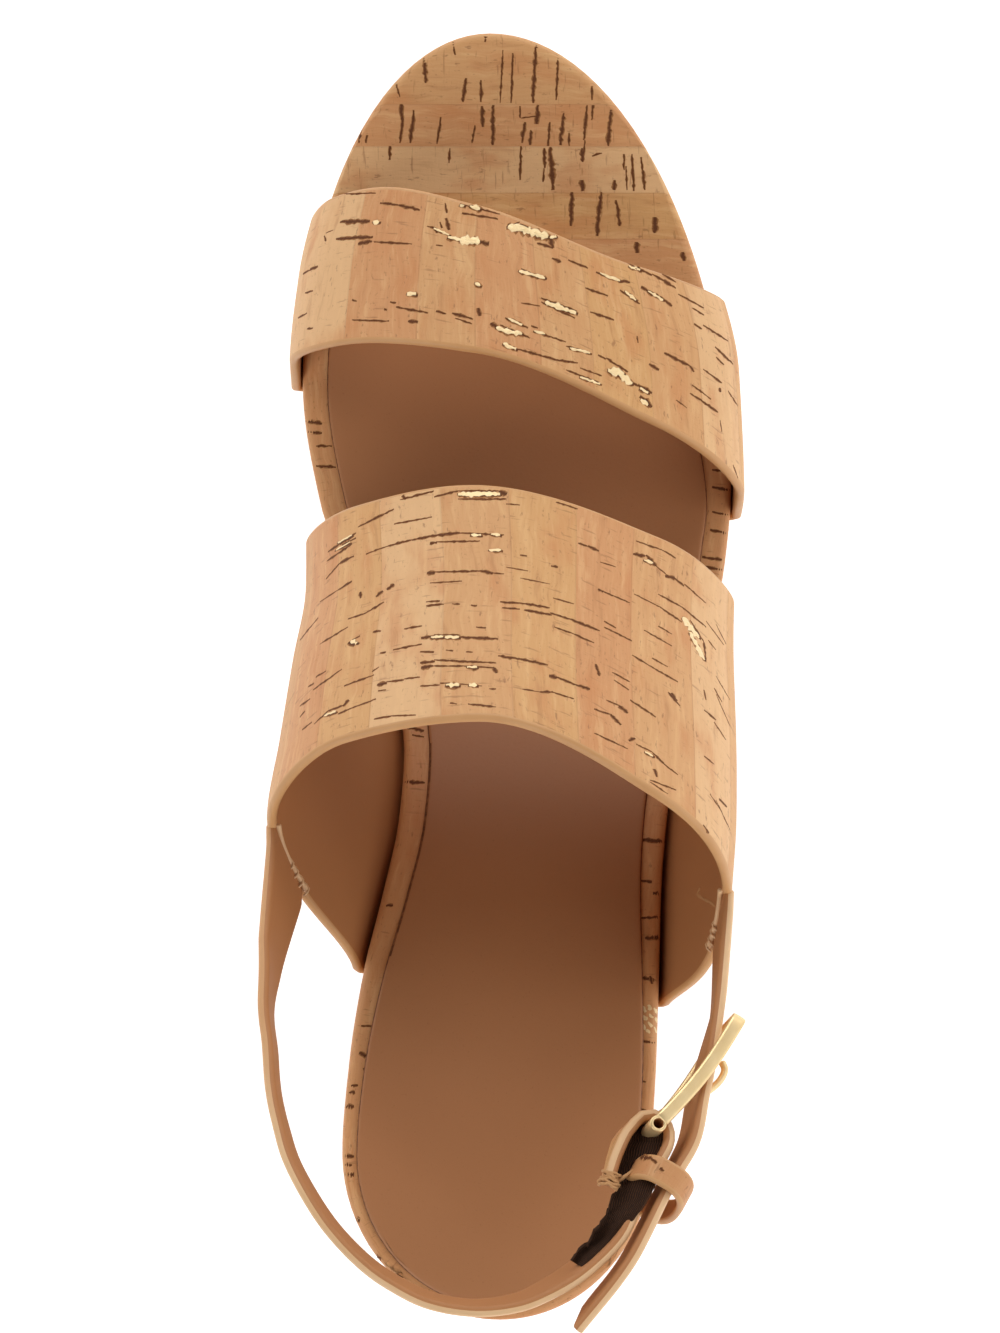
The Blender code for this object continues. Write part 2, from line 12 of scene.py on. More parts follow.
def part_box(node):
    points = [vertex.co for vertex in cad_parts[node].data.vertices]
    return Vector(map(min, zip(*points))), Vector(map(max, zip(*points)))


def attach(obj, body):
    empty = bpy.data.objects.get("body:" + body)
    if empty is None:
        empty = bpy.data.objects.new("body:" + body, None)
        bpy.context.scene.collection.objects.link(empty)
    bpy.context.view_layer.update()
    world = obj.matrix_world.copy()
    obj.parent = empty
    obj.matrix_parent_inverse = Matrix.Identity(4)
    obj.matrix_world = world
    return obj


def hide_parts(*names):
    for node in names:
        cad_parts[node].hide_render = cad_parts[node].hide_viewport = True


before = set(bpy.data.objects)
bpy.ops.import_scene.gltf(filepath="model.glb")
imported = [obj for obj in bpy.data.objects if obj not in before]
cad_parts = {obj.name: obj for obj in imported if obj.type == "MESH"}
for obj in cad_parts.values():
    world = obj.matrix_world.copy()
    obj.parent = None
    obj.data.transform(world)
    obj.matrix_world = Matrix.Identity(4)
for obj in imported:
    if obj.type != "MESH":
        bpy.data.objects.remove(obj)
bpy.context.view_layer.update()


# Outsole and heel tip: moulded brown rubber, a thin sheet under the platform and a top piece that the
# heel stands on. Both are cut to the sole's plan, a little inside the cork, and cemented on.
# Sizes are millimetres on the last, y from the back of the heel; x below 0 is the arch side.
MM = 0.001
SHOE_LENGTH = 235.4
TOE_TIP_X = -1.9
HEEL_ROUND_Y, TOE_ROUND_Y = 30.0, 150.0
HEEL_HEART_Y, TOE_HEART_Y, HEART_REACH = 40.0, 165.0, 26.0
BREAST_Y, GLUE_GAP = 52.0, 0.3
OUTSOLE_THICKNESS, TIP_HEIGHT = 3.0, 6.0
SOLE_COLUMNS, SOLE_PITCH = 28, 3.2
PLAN_STEPS, PLAN_NUDGE, GRID_EDGE, SHARP_DEGREES = 400, 0.1, 0.9999, 50
MEDIAL_EDGE = [(30.0, -28.4), (46.0, -27.2), (62.0, -24.7), (76.0, -21.3), (90.0, -18.4), (102.0, -17.6),
               (114.0, -19.8), (130.0, -26.4), (148.0, -33.6), (170.0, -36.9)]
LATERAL_EDGE = [(30.0, 27.4), (46.0, 28.2), (62.0, 28.8), (76.0, 29.3), (91.0, 30.7), (106.0, 33.6),
                (120.0, 37.6), (136.0, 41.8), (152.0, 43.2)]
GROUND = [(52.0, 68.5), (70.0, 60.0), (85.0, 49.0), (98.0, 35.5), (108.0, 23.5), (118.0, 11.0), (128.0, 2.6),
          (138.0, 0.0), (196.0, 0.0), (215.0, 2.2), (235.4, 8.0)]
footbed_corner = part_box("footbed")[0]
on_part = Vector((footbed_corner[0] / MM - MEDIAL_EDGE[-1][1], footbed_corner[1] / MM, 0.0))


def place(point):
    """A point on the last, in millimetres, as a point of the part, in metres."""
    return (point + on_part) * MM


def on_last(point):
    """A point of the part, in metres, as a point on the last, in millimetres."""
    return point / MM - on_part


def clamp(value, low=0.0, high=1.0):
    return min(max(value, low), high)


def bracket(steps, value):
    """The number of the step in a rising list that a value falls in, or of the nearest one."""
    return clamp(bisect.bisect_right(steps, value) - 1, 0, len(steps) - 2)


def raised(level, amount):
    return lambda y: level(y) + amount


def flat(level):
    return lambda y: level


def follow(rows, column=1, flat_ends=False):
    """A smooth function through one column of a table, which never overshoots its rows."""
    xs, ys = [row[0] for row in rows], [row[column] for row in rows]
    rises = [(b - a) / (q - p) for a, b, p, q in zip(ys, ys[1:], xs, xs[1:])]
    slopes = [0.0 if flat_ends else rises[0]]
    slopes += [2 * a * b / (a + b) if a * b > 0 else 0.0 for a, b in zip(rises, rises[1:])]
    slopes.append(0.0 if flat_ends else rises[-1])

    def value(x):
        x = clamp(x, xs[0], xs[-1])
        i = bracket(xs, x)
        width = xs[i + 1] - xs[i]
        t = (x - xs[i]) / width
        return ((1 + 2 * t) * (1 - t) ** 2 * ys[i] + t * (1 - t) ** 2 * width * slopes[i]
                + t * t * (3 - 2 * t) * ys[i + 1] + t * t * (t - 1) * width * slopes[i + 1])

    return value


def side_edge(rows, toe_power):
    """One edge of the sole in plan, closed by an ellipse at the heel and a fuller curve at the toe."""
    waist = follow(rows, flat_ends=True)
    (heel_y, heel_x), (ball_y, ball_x) = rows[0], rows[-1]

    def x_at(y):
        if y < heel_y:
            return heel_x * math.sqrt(max(0.0, 1 - ((heel_y - y) / heel_y) ** 2))
        if y > ball_y:
            share = max(0.0, 1 - ((y - ball_y) / (SHOE_LENGTH - ball_y)) ** toe_power)
            return TOE_TIP_X + (ball_x - TOE_TIP_X) * math.sqrt(share)
        return waist(y)

    return x_at


medial_x, lateral_x = side_edge(MEDIAL_EDGE, toe_power=2.0), side_edge(LATERAL_EDGE, toe_power=1.85)
ground = follow(GROUND)


def plan_y(k):
    """The k-th of the steps from heel to toe, which lie closer together towards both ends."""
    return SHOE_LENGTH * (1 - math.cos(math.pi * k / PLAN_STEPS)) / 2


def drawn_in(x_at, sign, margin):
    """An edge of the plan moved in by a margin, as a function of y."""
    rows = []
    for k in range(PLAN_STEPS + 1):
        y = plan_y(k)
        if k in (0, PLAN_STEPS):
            rows.append((abs(y - margin), x_at(y)))
            continue
        step = min(PLAN_NUDGE, y / 2, (SHOE_LENGTH - y) / 2)
        along = Vector((x_at(y + step) - x_at(y - step), 2 * step)).normalized()
        rows.append((y - sign * along.x * margin, x_at(y) + sign * along.y * margin))
    rows.sort()
    ys = [row[0] for row in rows]

    def moved(y):
        i = bracket(ys, y)
        share = clamp((y - ys[i]) / max(ys[i + 1] - ys[i], 1e-9))
        return rows[i][1] + (rows[i + 1][1] - rows[i][1]) * share

    return moved


def sole_plan(margin, back, front):
    """The plan drawn in by a margin, for u from edge to edge and s from back to front. A round end
    spreads the grid like a disc, so that no face collapses there."""
    medial, lateral = drawn_in(medial_x, 1, margin), drawn_in(lateral_x, -1, margin)
    ends = []
    if back == 0.0:
        ends.append((HEEL_ROUND_Y, margin - HEEL_ROUND_Y))
    if front == SHOE_LENGTH:
        ends.append((TOE_ROUND_Y, SHOE_LENGTH - margin - TOE_ROUND_Y))

    def spot(u, s):
        y, ratio = s, u
        for centre, reach in ends:
            w = min((s - centre) / reach, 1.0)
            if w > 0:
                b = w * math.sqrt(1 - u * u / 2)
                chord = math.sqrt(max(0.0, 1 - b * b))
                y = centre + reach * b
                ratio = u * math.sqrt(1 - w * w / 2) / chord if chord > 1e-6 else 0.0
        ratio = clamp(ratio, -1.0, 1.0)
        return Vector((medial(y) + (lateral(y) - medial(y)) * (ratio + 1) / 2, y))

    return spot


def slab_grid(mesh, columns, rows):
    """A square grid of faces and a second one above it, closed round the side; returns their corners."""
    known = set(mesh.faces)
    lower = bmesh.ops.create_grid(mesh, x_segments=columns, y_segments=rows, size=1.0)["verts"]
    faces = [face for face in mesh.faces if face not in known]
    lifted = bmesh.ops.extrude_face_region(mesh, geom=faces)["geom"]
    upper = [found for found in lifted if isinstance(found, bmesh.types.BMVert)]
    bmesh.ops.translate(mesh, verts=upper, vec=(0.0, 0.0, 1.0))
    return lower, upper


def face_outwards(mesh):
    bmesh.ops.recalc_face_normals(mesh, faces=mesh.faces[:])


def sole_layer(margin, back, front, rings, ease=None):
    """A slab over the plan: a grid raised to a second one, its wall cut into rings of (inset, level) from
    the bottom up. Returns the mesh and the edges round its upper face."""
    spot = sole_plan(margin, back, front)
    start = margin if back == 0.0 else back
    stop = SHOE_LENGTH - margin if front == SHOE_LENGTH else front
    tiny_u, tiny_s = 0.02, 0.2
    mesh = bmesh.new()
    slab_grid(mesh, SOLE_COLUMNS, round((stop - start) / SOLE_PITCH))
    posts = [edge for edge in mesh.edges if abs(edge.verts[0].co.z - edge.verts[1].co.z) > 0.5]
    if len(rings) > 2:
        bmesh.ops.subdivide_edges(mesh, edges=posts, cuts=len(rings) - 2, use_grid_fill=True)
    rim = {vert for vert in mesh.verts if max(abs(vert.co.x), abs(vert.co.y)) > GRID_EDGE}
    crest = [edge for edge in mesh.edges if all(vert in rim and vert.co.z > 0.99 for vert in edge.verts)]
    for vert in mesh.verts:
        u, s = vert.co.x, start + (stop - start) * (vert.co.y + 1) / 2
        inset, level = rings[round(vert.co.z * (len(rings) - 1))]
        point = spot(u, s)
        cut_end = vert.co.y < -GRID_EDGE and back > 0.0 or vert.co.y > GRID_EDGE and front < SHOE_LENGTH
        if inset and vert in rim and cut_end:
            point.x -= u * inset
        elif inset and vert in rim:
            if abs(u) > GRID_EDGE:
                along = spot(u, min(s + tiny_s, stop)) - spot(u, max(s - tiny_s, start))
            else:
                along = spot(u + tiny_u, s) - spot(u - tiny_u, s)
            inward = Vector((-along.y, along.x)).normalized()
            heart = Vector((0.0, clamp(point.y, HEEL_HEART_Y, TOE_HEART_Y)))
            point += inward * math.copysign(inset, inward.dot(heart - point))
        elif inset:
            share = (vert.co.y + 1) / 2
            point.x *= 1 - inset / HEART_REACH
            point.y += inset * ((1 - share) * (back == 0.0) - share * (front == SHOE_LENGTH))
        if ease:
            point += ease(point)
        vert.co = place(Vector((point.x, point.y, level(point.y))))
    face_outwards(mesh)
    return mesh, crest


def round_off(mesh, edges, width, segments=3):
    """Bevel edges to a round of that width in millimetres; returns the new faces."""
    return bmesh.ops.bevel(mesh, geom=edges, offset=width * MM, segments=segments, profile=0.5,
                           affect="EDGES", material=-1, clamp_overlap=False)["faces"]


def in_scene(name, data):
    made = bpy.data.objects.new(name, data)
    bpy.context.scene.collection.objects.link(made)
    return made


def mesh_object(name, mesh, materials):
    """The finished mesh as an object of the scene."""
    data = bpy.data.meshes.new(name)
    mesh.to_mesh(data)
    mesh.free()
    for material in materials:
        data.materials.append(material)
    return in_scene(name, data)


def piece(name, mesh, materials, node):
    """A mesh as a piece that rides on the sandal, and stands for its CAD node if it has one."""
    made = mesh_object(name, mesh, materials)
    made.data.shade_smooth()
    made.data.set_sharp_from_angle(angle=math.radians(SHARP_DEGREES))
    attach(made, "root")
    if node:
        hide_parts(node)
    return made


class Wire:
    """A socket among a material's nodes. Sums of wires and numbers add their Math nodes."""

    def __init__(self, nodes, socket=None):
        self.nodes, self.socket = nodes, socket

    def plug(self, socket, value):
        if isinstance(value, Wire):
            self.nodes.id_data.links.new(value.socket, socket)
        else:
            socket.default_value = value

    def node(self, kind, settings=None, sockets=None, output=0):
        made = self.nodes.new(kind)
        for name, value in (settings or {}).items():
            if name == "stops":
                ramp = made.color_ramp.elements
                while len(ramp) < len(value):
                    ramp.new(1.0)
                for stop, (position, colour) in zip(ramp, value):
                    stop.position, stop.color = position, colour
            elif name == "interpolation":
                made.color_ramp.interpolation = value
            else:
                setattr(made, name, value)
        for name, value in (sockets or {}).items():
            self.plug(made.inputs[name], value)
        return Wire(self.nodes, made.outputs[output])

    def math(self, operation, *values):
        return self.node("ShaderNodeMath", {"operation": operation}, dict(enumerate(values)))

    def __add__(self, other):
        return self.math("ADD", self, other)

    def __sub__(self, other):
        return self.math("SUBTRACT", self, other)

    def __rsub__(self, other):
        return self.math("SUBTRACT", other, self)

    def __mul__(self, other):
        return self.math("MULTIPLY", self, other)

    def __truediv__(self, other):
        return self.math("DIVIDE", self, other)

    def __gt__(self, other):
        return self.math("GREATER_THAN", self, other)

    def __lt__(self, other):
        return self.math("LESS_THAN", self, other)

    def __abs__(self):
        return self.math("ABSOLUTE", self)

    __radd__, __rmul__ = __add__, __mul__

    def between(self, low, high):
        """0 below low, 1 above high, and a soft rise between them."""
        return self.node("ShaderNodeMapRange", {"interpolation_type": "SMOOTHSTEP"},
                         {0: self, 1: low, 2: high, 3: 0.0, 4: 1.0})

    def spot(self):
        """Where on the object a spot lies, in metres."""
        return self.node("ShaderNodeTexCoord", output=3)

    def axis(self, number):
        return self.node("ShaderNodeSeparateXYZ", None, {0: self}, number)

    def noise(self, scale, detail=2.0, rough=0.5, spot=None):
        return self.node("ShaderNodeTexNoise", {"normalize": True}, {
            "Vector": spot or self.spot(), "Scale": scale, "Detail": detail, "Roughness": rough})

    def vector(self, x=0.0, y=0.0, z=0.0):
        return self.node("ShaderNodeCombineXYZ", None, {0: x, 1: y, 2: z})

    def mix(self, first, second, factor, blend="MIX"):
        return self.node("ShaderNodeMix", {"data_type": "RGBA", "blend_type": blend},
                         {0: factor, 6: first, 7: second}, output=2)

    def bump(self, height, strength, distance):
        return self.node("ShaderNodeBump", None,
                         {"Height": height, "Strength": strength, "Distance": distance})


def paint(red, green, blue):
    """A colour given in 0 to 255 as seen, for a shader's socket."""
    shares = [value / 255 for value in (red, green, blue)]
    return (*(s / 12.92 if s < 0.04045 else ((s + 0.055) / 1.055) ** 2.4 for s in shares), 1.0)


def new_material(name, **constants):
    """A material, its shader with fixed values set, and a wire to start its nodes from."""
    made = bpy.data.materials.new(name)
    made.use_nodes = True
    shader = made.node_tree.nodes["Principled BSDF"]
    for socket, value in constants.items():
        shader.inputs[socket.replace("_", " ")].default_value = value
    return made, shader.inputs, Wire(made.node_tree.nodes)


def coat(shader, wire, colour, roughness, height, strength, depth):
    """A surface's colour, roughness and fine relief, of a strength and a depth in metres."""
    wire.plug(shader["Base Color"], colour)
    wire.plug(shader["Roughness"], roughness)
    wire.plug(shader["Normal"], wire.bump(height, strength, depth))


sole_rubber, shader, wire = new_material("sole_rubber", Specular_IOR_Level=0.35)
mottle, crumb = wire.noise(160.0, 4.0, 0.6), wire.noise(1400.0)
coat(shader, wire, wire.mix(paint(74, 50, 34), paint(98, 68, 46), mottle), 0.62 + 0.2 * crumb,
     crumb + mottle, 0.25, 0.0004)

mesh, _ = sole_layer(margin=3.2, back=BREAST_Y + GLUE_GAP, front=SHOE_LENGTH, rings=[
    (1.4, ground), (0.4, raised(ground, 1.0)), (0.0, raised(ground, OUTSOLE_THICKNESS))])
piece("rubber_outsole", mesh, [sole_rubber], "outsole")
mesh, _ = sole_layer(margin=3.9, back=0.0, front=BREAST_Y, rings=[
    (0.7, flat(0.0)), (0.0, flat(0.8)), (0.0, flat(TIP_HEIGHT))])
piece("rubber_heel_tip", mesh, [sole_rubber], "heel_tip")


# Platform and block heel: light cores wrapped in thin cork sheet, which is made of strips laid edge to
# edge. The strips run round the sole and their dark bark lines stand upright; the wrap is glued.
FOOTBED_TOP = [(0.0, 91.0), (30.0, 88.0), (55.0, 82.0), (80.0, 70.5), (105.0, 55.5), (130.0, 42.0),
               (150.0, 35.0), (170.0, 31.8), (195.0, 31.3), (215.0, 32.8), (235.4, 36.4)]
FOOTBED_THICKNESS = 6.0
footbed_top = follow(FOOTBED_TOP)
STRAW, TAN, ROSE, AMBER = paint(217, 171, 121), paint(205, 152, 99), paint(202, 143, 92), paint(206, 154, 97)
JOINT_WIDTH, MARK_PITCH = 0.25, 2.5


def footbed_bottom(y):
    return footbed_top(y) - FOOTBED_THICKNESS


def between(low, high, share):
    return lambda y: low(y) + (high(y) - low(y)) * share


outline = KDTree(2 * (PLAN_STEPS + 1))
outline_rows = []
for side, x_at in ((-1, medial_x), (1, lateral_x)):
    run, last = 0.0, None
    for k in range(PLAN_STEPS + 1):
        y = plan_y(k)
        point = Vector((x_at(y), y, 0.0))
        run += (point - last).length if last else 0.0
        along = (point - last).normalized() if last else Vector((side, 0.0, 0.0))
        outline.insert(point, len(outline_rows))
        outline_rows.append((side * run, side * along, Vector((along.y, -along.x, 0.0)) * side))
        last = point
outline.balance()


def wrap_place(co):
    """Where a point lies on the cork wrapped over the sole's edge: up and over the edge, and along it."""
    point = on_last(co)
    nearest, index, _ = outline.find((point.x, point.y, 0.0))
    run, along, outward = outline_rows[index]
    offset = Vector((point.x, point.y, 0.0)) - nearest
    return point.z - footbed_top(point.y) - offset.dot(outward), run + offset.dot(along)


def lay_cork(mesh, where):
    """Store the place of each corner on its cork sheet, in millimetres: across the strips, then along."""
    layer = mesh.loops.layers.uv.new("cork")
    for face in mesh.faces:
        for loop in face.loops:
            loop[layer].uv = where(loop.vert.co, face)


def on_sheet(wire, layer, axis):
    """Where a spot lies along one axis of the flat sheet that a layer of the mesh holds."""
    return wire.node("ShaderNodeUVMap", {"uv_map": layer}).axis(axis)


def cork(name, strips, span, marks, shade=1.0, charted=None):
    """Cork sheet of strips laid side by side: (start, tone) rows over a span of millimetres. Fine grain
    runs along each strip and dark bark lines, some with a gold fill, cross it. marks is how many; over the
    charted stretch they are laid on one by one instead."""
    made, shader, wire = new_material(name, Specular_IOR_Level=0.4)
    across, along = on_sheet(wire, "cork", 0), on_sheet(wire, "cork", 1)
    low, high = span
    tones, greys = [], []
    for k, (start, tone) in enumerate(strips):
        start, grey = max(0.0, (start - low) / (high - low)), (0.13 + 0.37 * k) % 1
        tones.append((start, tone))
        greys.append((start, (grey, grey, grey, 1.0)))

    def ramp(value, stops):
        return wire.node("ShaderNodeValToRGB", {"stops": stops, "interpolation": "CONSTANT"},
                         {0: (value - low) * (1 / (high - low))})

    def patch(x, y, z=0.0, detail=2.0, rough=0.5):
        return wire.noise(1.0, detail, rough, wire.vector(x, y, z))

    number, next_number = (wire.node("ShaderNodeRGBToBW", None, {0: ramp(value, greys)})
                           for value in (across, across + JOINT_WIDTH))
    joint = abs(number - next_number) > 0.01
    shifted = along + 211.0 * number
    swayed = across + (patch(across * 0.1, shifted * 0.13, number * 3.0) - 0.5) * 2.5
    streak = patch(swayed * 0.62, shifted * 0.075, number * 7.0, 3.0, 0.65)
    grain = patch(swayed * 2.4, shifted * 0.11, number * 9.0, 3.0, 0.6)
    cloud = patch(across * 0.16, shifted * 0.07, number * 5.0, 3.0, 0.55)
    speck = patch(across * 1.6, shifted * 1.1, 0.0, 3.0, 0.65)
    crumb = patch(swayed * 1.3, shifted * 0.42, number * 2.0, 3.0, 0.6)
    crack = patch(across * 0.22, shifted * 1.5, number * 6.0, 2.0, 0.55)

    rows = shifted * (1 / MARK_PITCH)
    row = wire.math("FLOOR", rows)
    dice = wire.node("ShaderNodeTexWhiteNoise", {"noise_dimensions": "3D"},
                     {"Vector": wire.vector(row, number * 40.0, 3.0)}, 1)
    first, second, third = (wire.node("ShaderNodeSeparateColor", None, {0: dice}, k) for k in range(3))
    wander = patch(across * 0.45, row * 3.7, number * 8.0)
    off_line = abs(rows - row - 0.5 - (first - 0.5) * 0.55 - (wander - 0.5) * 0.5)
    thick = 0.03 + 0.09 * patch(across * 1.1, row * 2.1, 4.0)
    reach = patch(across * 0.16 + second * 50.0, row * 5.3, 7.0, 1.0)
    dash = (1 - (off_line / thick).between(0.75, 1.15)) * (third < marks) * reach.between(0.42, 0.47)
    if charted:
        dash = dash * (1 - (across > charted[0]) * (across < charted[1]))
    glint = dash * (patch(across * 0.5, row * 1.7, 12.0, 1.0) > 0.66)

    tint = ramp(across, tones)
    for colour, amount in (
            (paint(194, 124, 70), cloud.between(0.48, 0.72) * 0.55),
            (paint(228, 184, 130), streak.between(0.5, 0.72) * 0.38),
            (paint(166, 106, 58), (1 - streak).between(0.55, 0.75) * 0.4),
            (paint(230, 188, 138), (grain - 0.4) * 0.42),
            (paint(138, 84, 44), crack.between(0.62, 0.74) * 0.42),
            (paint(140, 88, 48), speck.between(0.6, 0.76) * 0.5),
            (paint(132, 80, 44), crumb.between(0.62, 0.72) * 0.5),
            (paint(140, 90, 52), joint * 0.16), (paint(84, 46, 24), dash * 0.9),
            (paint(246, 214, 152), glint)):
        tint = wire.mix(tint, colour, amount)
    tint = wire.mix(tint, (shade, shade, shade, 1.0), 1.0, "MULTIPLY")
    wire.plug(shader["Metallic"], 0.7 * glint)
    height = grain * 0.5 + streak * 0.5 - speck * 0.3 - crumb * 0.4 - crack * 0.4 - dash * 1.2 - joint * 0.4
    coat(shader, wire, tint, 0.46 + 0.14 * grain + 0.1 * speck - 0.25 * glint, height, 0.4, 0.0002)
    return made


def strips_from(start, width, count):
    """Strips of one width in the four tones of cork, by turns."""
    return [(start + width * k, (TAN, STRAW, AMBER, ROSE)[k * 3 % 4]) for k in range(count)]


cork_wrap = cork("cork_wrap", strips_from(-100.0, 11.0, 10), (-100.0, 10.0), marks=0.3, shade=0.92)

low, high = raised(ground, OUTSOLE_THICKNESS + GLUE_GAP), raised(footbed_bottom, -GLUE_GAP)
mesh, _ = sole_layer(margin=0.6, back=BREAST_Y + GLUE_GAP, front=SHOE_LENGTH, rings=[
    (2.8, low), (2.0, between(low, high, 0.06)), (1.2, between(low, high, 0.3)),
    (0.6, between(low, high, 0.55)), (0.0, between(low, high, 0.92)), (0.8, high)])
lay_cork(mesh, lambda co, face: wrap_place(co))
piece("cork_platform", mesh, [cork_wrap], "platform")

low = flat(TIP_HEIGHT + GLUE_GAP)
mesh, _ = sole_layer(margin=0.9, back=0.0, front=BREAST_Y, rings=[
    (2.9, low), (2.3, between(low, high, 0.25)), (1.5, between(low, high, 0.6)),
    (0.3, between(low, high, 0.9)), (0.0, high)])


def heel_place(co, face):
    """The heel's cork runs round the sole, and straight across the flat breast in front."""
    if face.normal.y < 0.7:
        return wrap_place(co)
    point = on_last(co)
    return point.z - footbed_top(point.y), point.x


mesh.normal_update()
lay_cork(mesh, heel_place)
piece("cork_heel", mesh, [cork_wrap], "heel")


# Footbed: an insole board in a cork sheet that is turned over its edge. The toe is covered by strips laid
# across the foot; round the rest a 4 mm cork rim shows, with a dark line of painted shade where the sock
# meets it.
TOE_STRIPS = [(150.0, TAN), (188.0, ROSE), (196.9, AMBER), (205.8, STRAW), (214.2, ROSE), (222.1, TAN)]
RIM_STRIPS = [(-12.0, TAN), (-6.5, ROSE)]
TOE_COVER_X, TOE_COVER_Y, TOE_COVER_SLANT = -37.0, 187.0, 0.27
cork_rim = cork("cork_rim", RIM_STRIPS, (-12.0, 12.0), marks=0.12, shade=1.03, charted=(-2.0, 9.0))
cork_toe = cork("cork_toe", TOE_STRIPS, (150.0, 250.0), marks=0.0, shade=0.98)
mesh, crest = sole_layer(margin=0.0, back=0.0, front=SHOE_LENGTH, rings=[
    (1.0, footbed_bottom), (0.0, raised(footbed_bottom, 1.0)), (0.0, footbed_top)])
round_off(mesh, crest, 1.6, 5)


def on_toe(face):
    """Whether a face lies on the toe cover, which ends slantwise under the toe strap."""
    centre = on_last(face.calc_center_median())
    return centre.y > TOE_COVER_Y - (centre.x - TOE_COVER_X) * TOE_COVER_SLANT


def footbed_place(co, face):
    """The rim's cork runs round the sole; the toe cover's lies across it and turns down over the edge."""
    if not on_toe(face):
        return wrap_place(co)
    point = on_last(co)
    outward = outline_rows[outline.find((point.x, point.y, 0.0))[1]][2]
    drop = footbed_top(point.y) - point.z
    return point.y + outward.y * drop, point.x + outward.x * drop


lay_cork(mesh, footbed_place)
for face in mesh.faces:
    face.material_index = int(on_toe(face))
footbed = piece("cork_footbed", mesh, [cork_rim, cork_toe], "footbed")

CAMERA_PLACE = place(Vector((0.0, 117.3, 1500.0)))
PHOTO_CENTRE_X, PHOTO_CENTRE_Y, PHOTO_FOCAL = 500.0, 666.5, 7856.0
FLAKE_STEP, FLAKE_DEPTH, FLAKE_FILL, FLAKE_WANDER = 2.6, 0.15, 0.58, 0.3
FLAKE_TIP, FLAKE_BLUNT, FLAKE_CROWN = 0.3, 0.45, 0.6


def photo_ray(x, y):
    """The camera's line of sight through a pixel of the photograph, from straight above the sandal."""
    return Vector((x - PHOTO_CENTRE_X, PHOTO_CENTRE_Y - y, -PHOTO_FOCAL)).normalized()


def inlay(name, rows, carrier, material, proud=0.03, jagged=0.32, columns=2):
    """Thin ragged flakes sunk in a carrier's skin. Each row is read off the photograph: the pixels where a
    flake starts and ends, and its width in millimetres. proud is how far they stand out, in millimetres."""
    skin = BVHTree.FromObject(carrier, bpy.context.evaluated_depsgraph_get())
    chance = random.Random(name)
    mesh = bmesh.new()
    layer = mesh.loops.layers.uv.new("flake")
    for x0, y0, x1, y1, width in rows:
        count = max(3, round(math.hypot(x1 - x0, y1 - y0) / FLAKE_STEP))
        hits = []
        for k in range(count + 1):
            share = k / count
            sight = photo_ray(x0 + (x1 - x0) * share, y0 + (y1 - y0) * share)
            spot, normal, _, _ = skin.ray_cast(CAMERA_PLACE, sight)
            if spot:
                hits.append((spot, normal))
        count = len(hits) - 1
        if count < 2:
            continue
        lower, upper = slab_grid(mesh, count, columns)
        bulge = [math.sin(math.pi * (k + 0.25) / (count + 0.5)) ** FLAKE_BLUNT for k in range(count + 1)]
        swell = [FLAKE_TIP + (1 - FLAKE_TIP) * size for size in bulge]
        spread = [FLAKE_FILL * width * MM * size * chance.uniform(1 - jagged, 1 + jagged) for size in swell]
        wander = [FLAKE_WANDER * jagged * width * MM * chance.uniform(-1.0, 1.0) for _ in hits]
        ragged = {}
        for vert in lower + upper:
            k, across, top = round((vert.co.x + 1) / 2 * count), vert.co.y, vert.co.z > 0.5
            for loop in vert.link_loops:
                loop[layer].uv = (k / count, 0.5 + across / 2)
            spot, normal = hits[k]
            along = (hits[min(k + 1, count)][0] - hits[max(k - 1, 0)][0]).normalized()
            side = normal.cross(along).normalized()
            key = (k, round(across, 3))
            ragged[key] = ragged.get(key) or spread[k] * across * chance.uniform(1 - jagged, 1 + jagged)
            lift = proud * (1.0 - FLAKE_CROWN * across * across) if top else -FLAKE_DEPTH
            vert.co = spot + side * (ragged[key] + wander[k]) + normal * lift * MM
    face_outwards(mesh)
    piece(name, mesh, [material], None)


def flake_edge(wire):
    """0 along the middle of a flake, 1 at its two edges."""
    return abs(on_sheet(wire, "flake", 1) - 0.5) * 2.0


bark, shader, wire = new_material("bark_lines_and_bore_shade", Specular_IOR_Level=0.25)
crumble = wire.noise(2600.0, 2.0, 0.6)
dark = (1 - flake_edge(wire) + crumble - 0.4).between(0.1, 0.8)
coat(shader, wire, wire.mix(paint(168, 114, 68), paint(96, 54, 26), dark), 0.6 + 0.3 * crumble,
     crumble, 0.4, 0.0002)

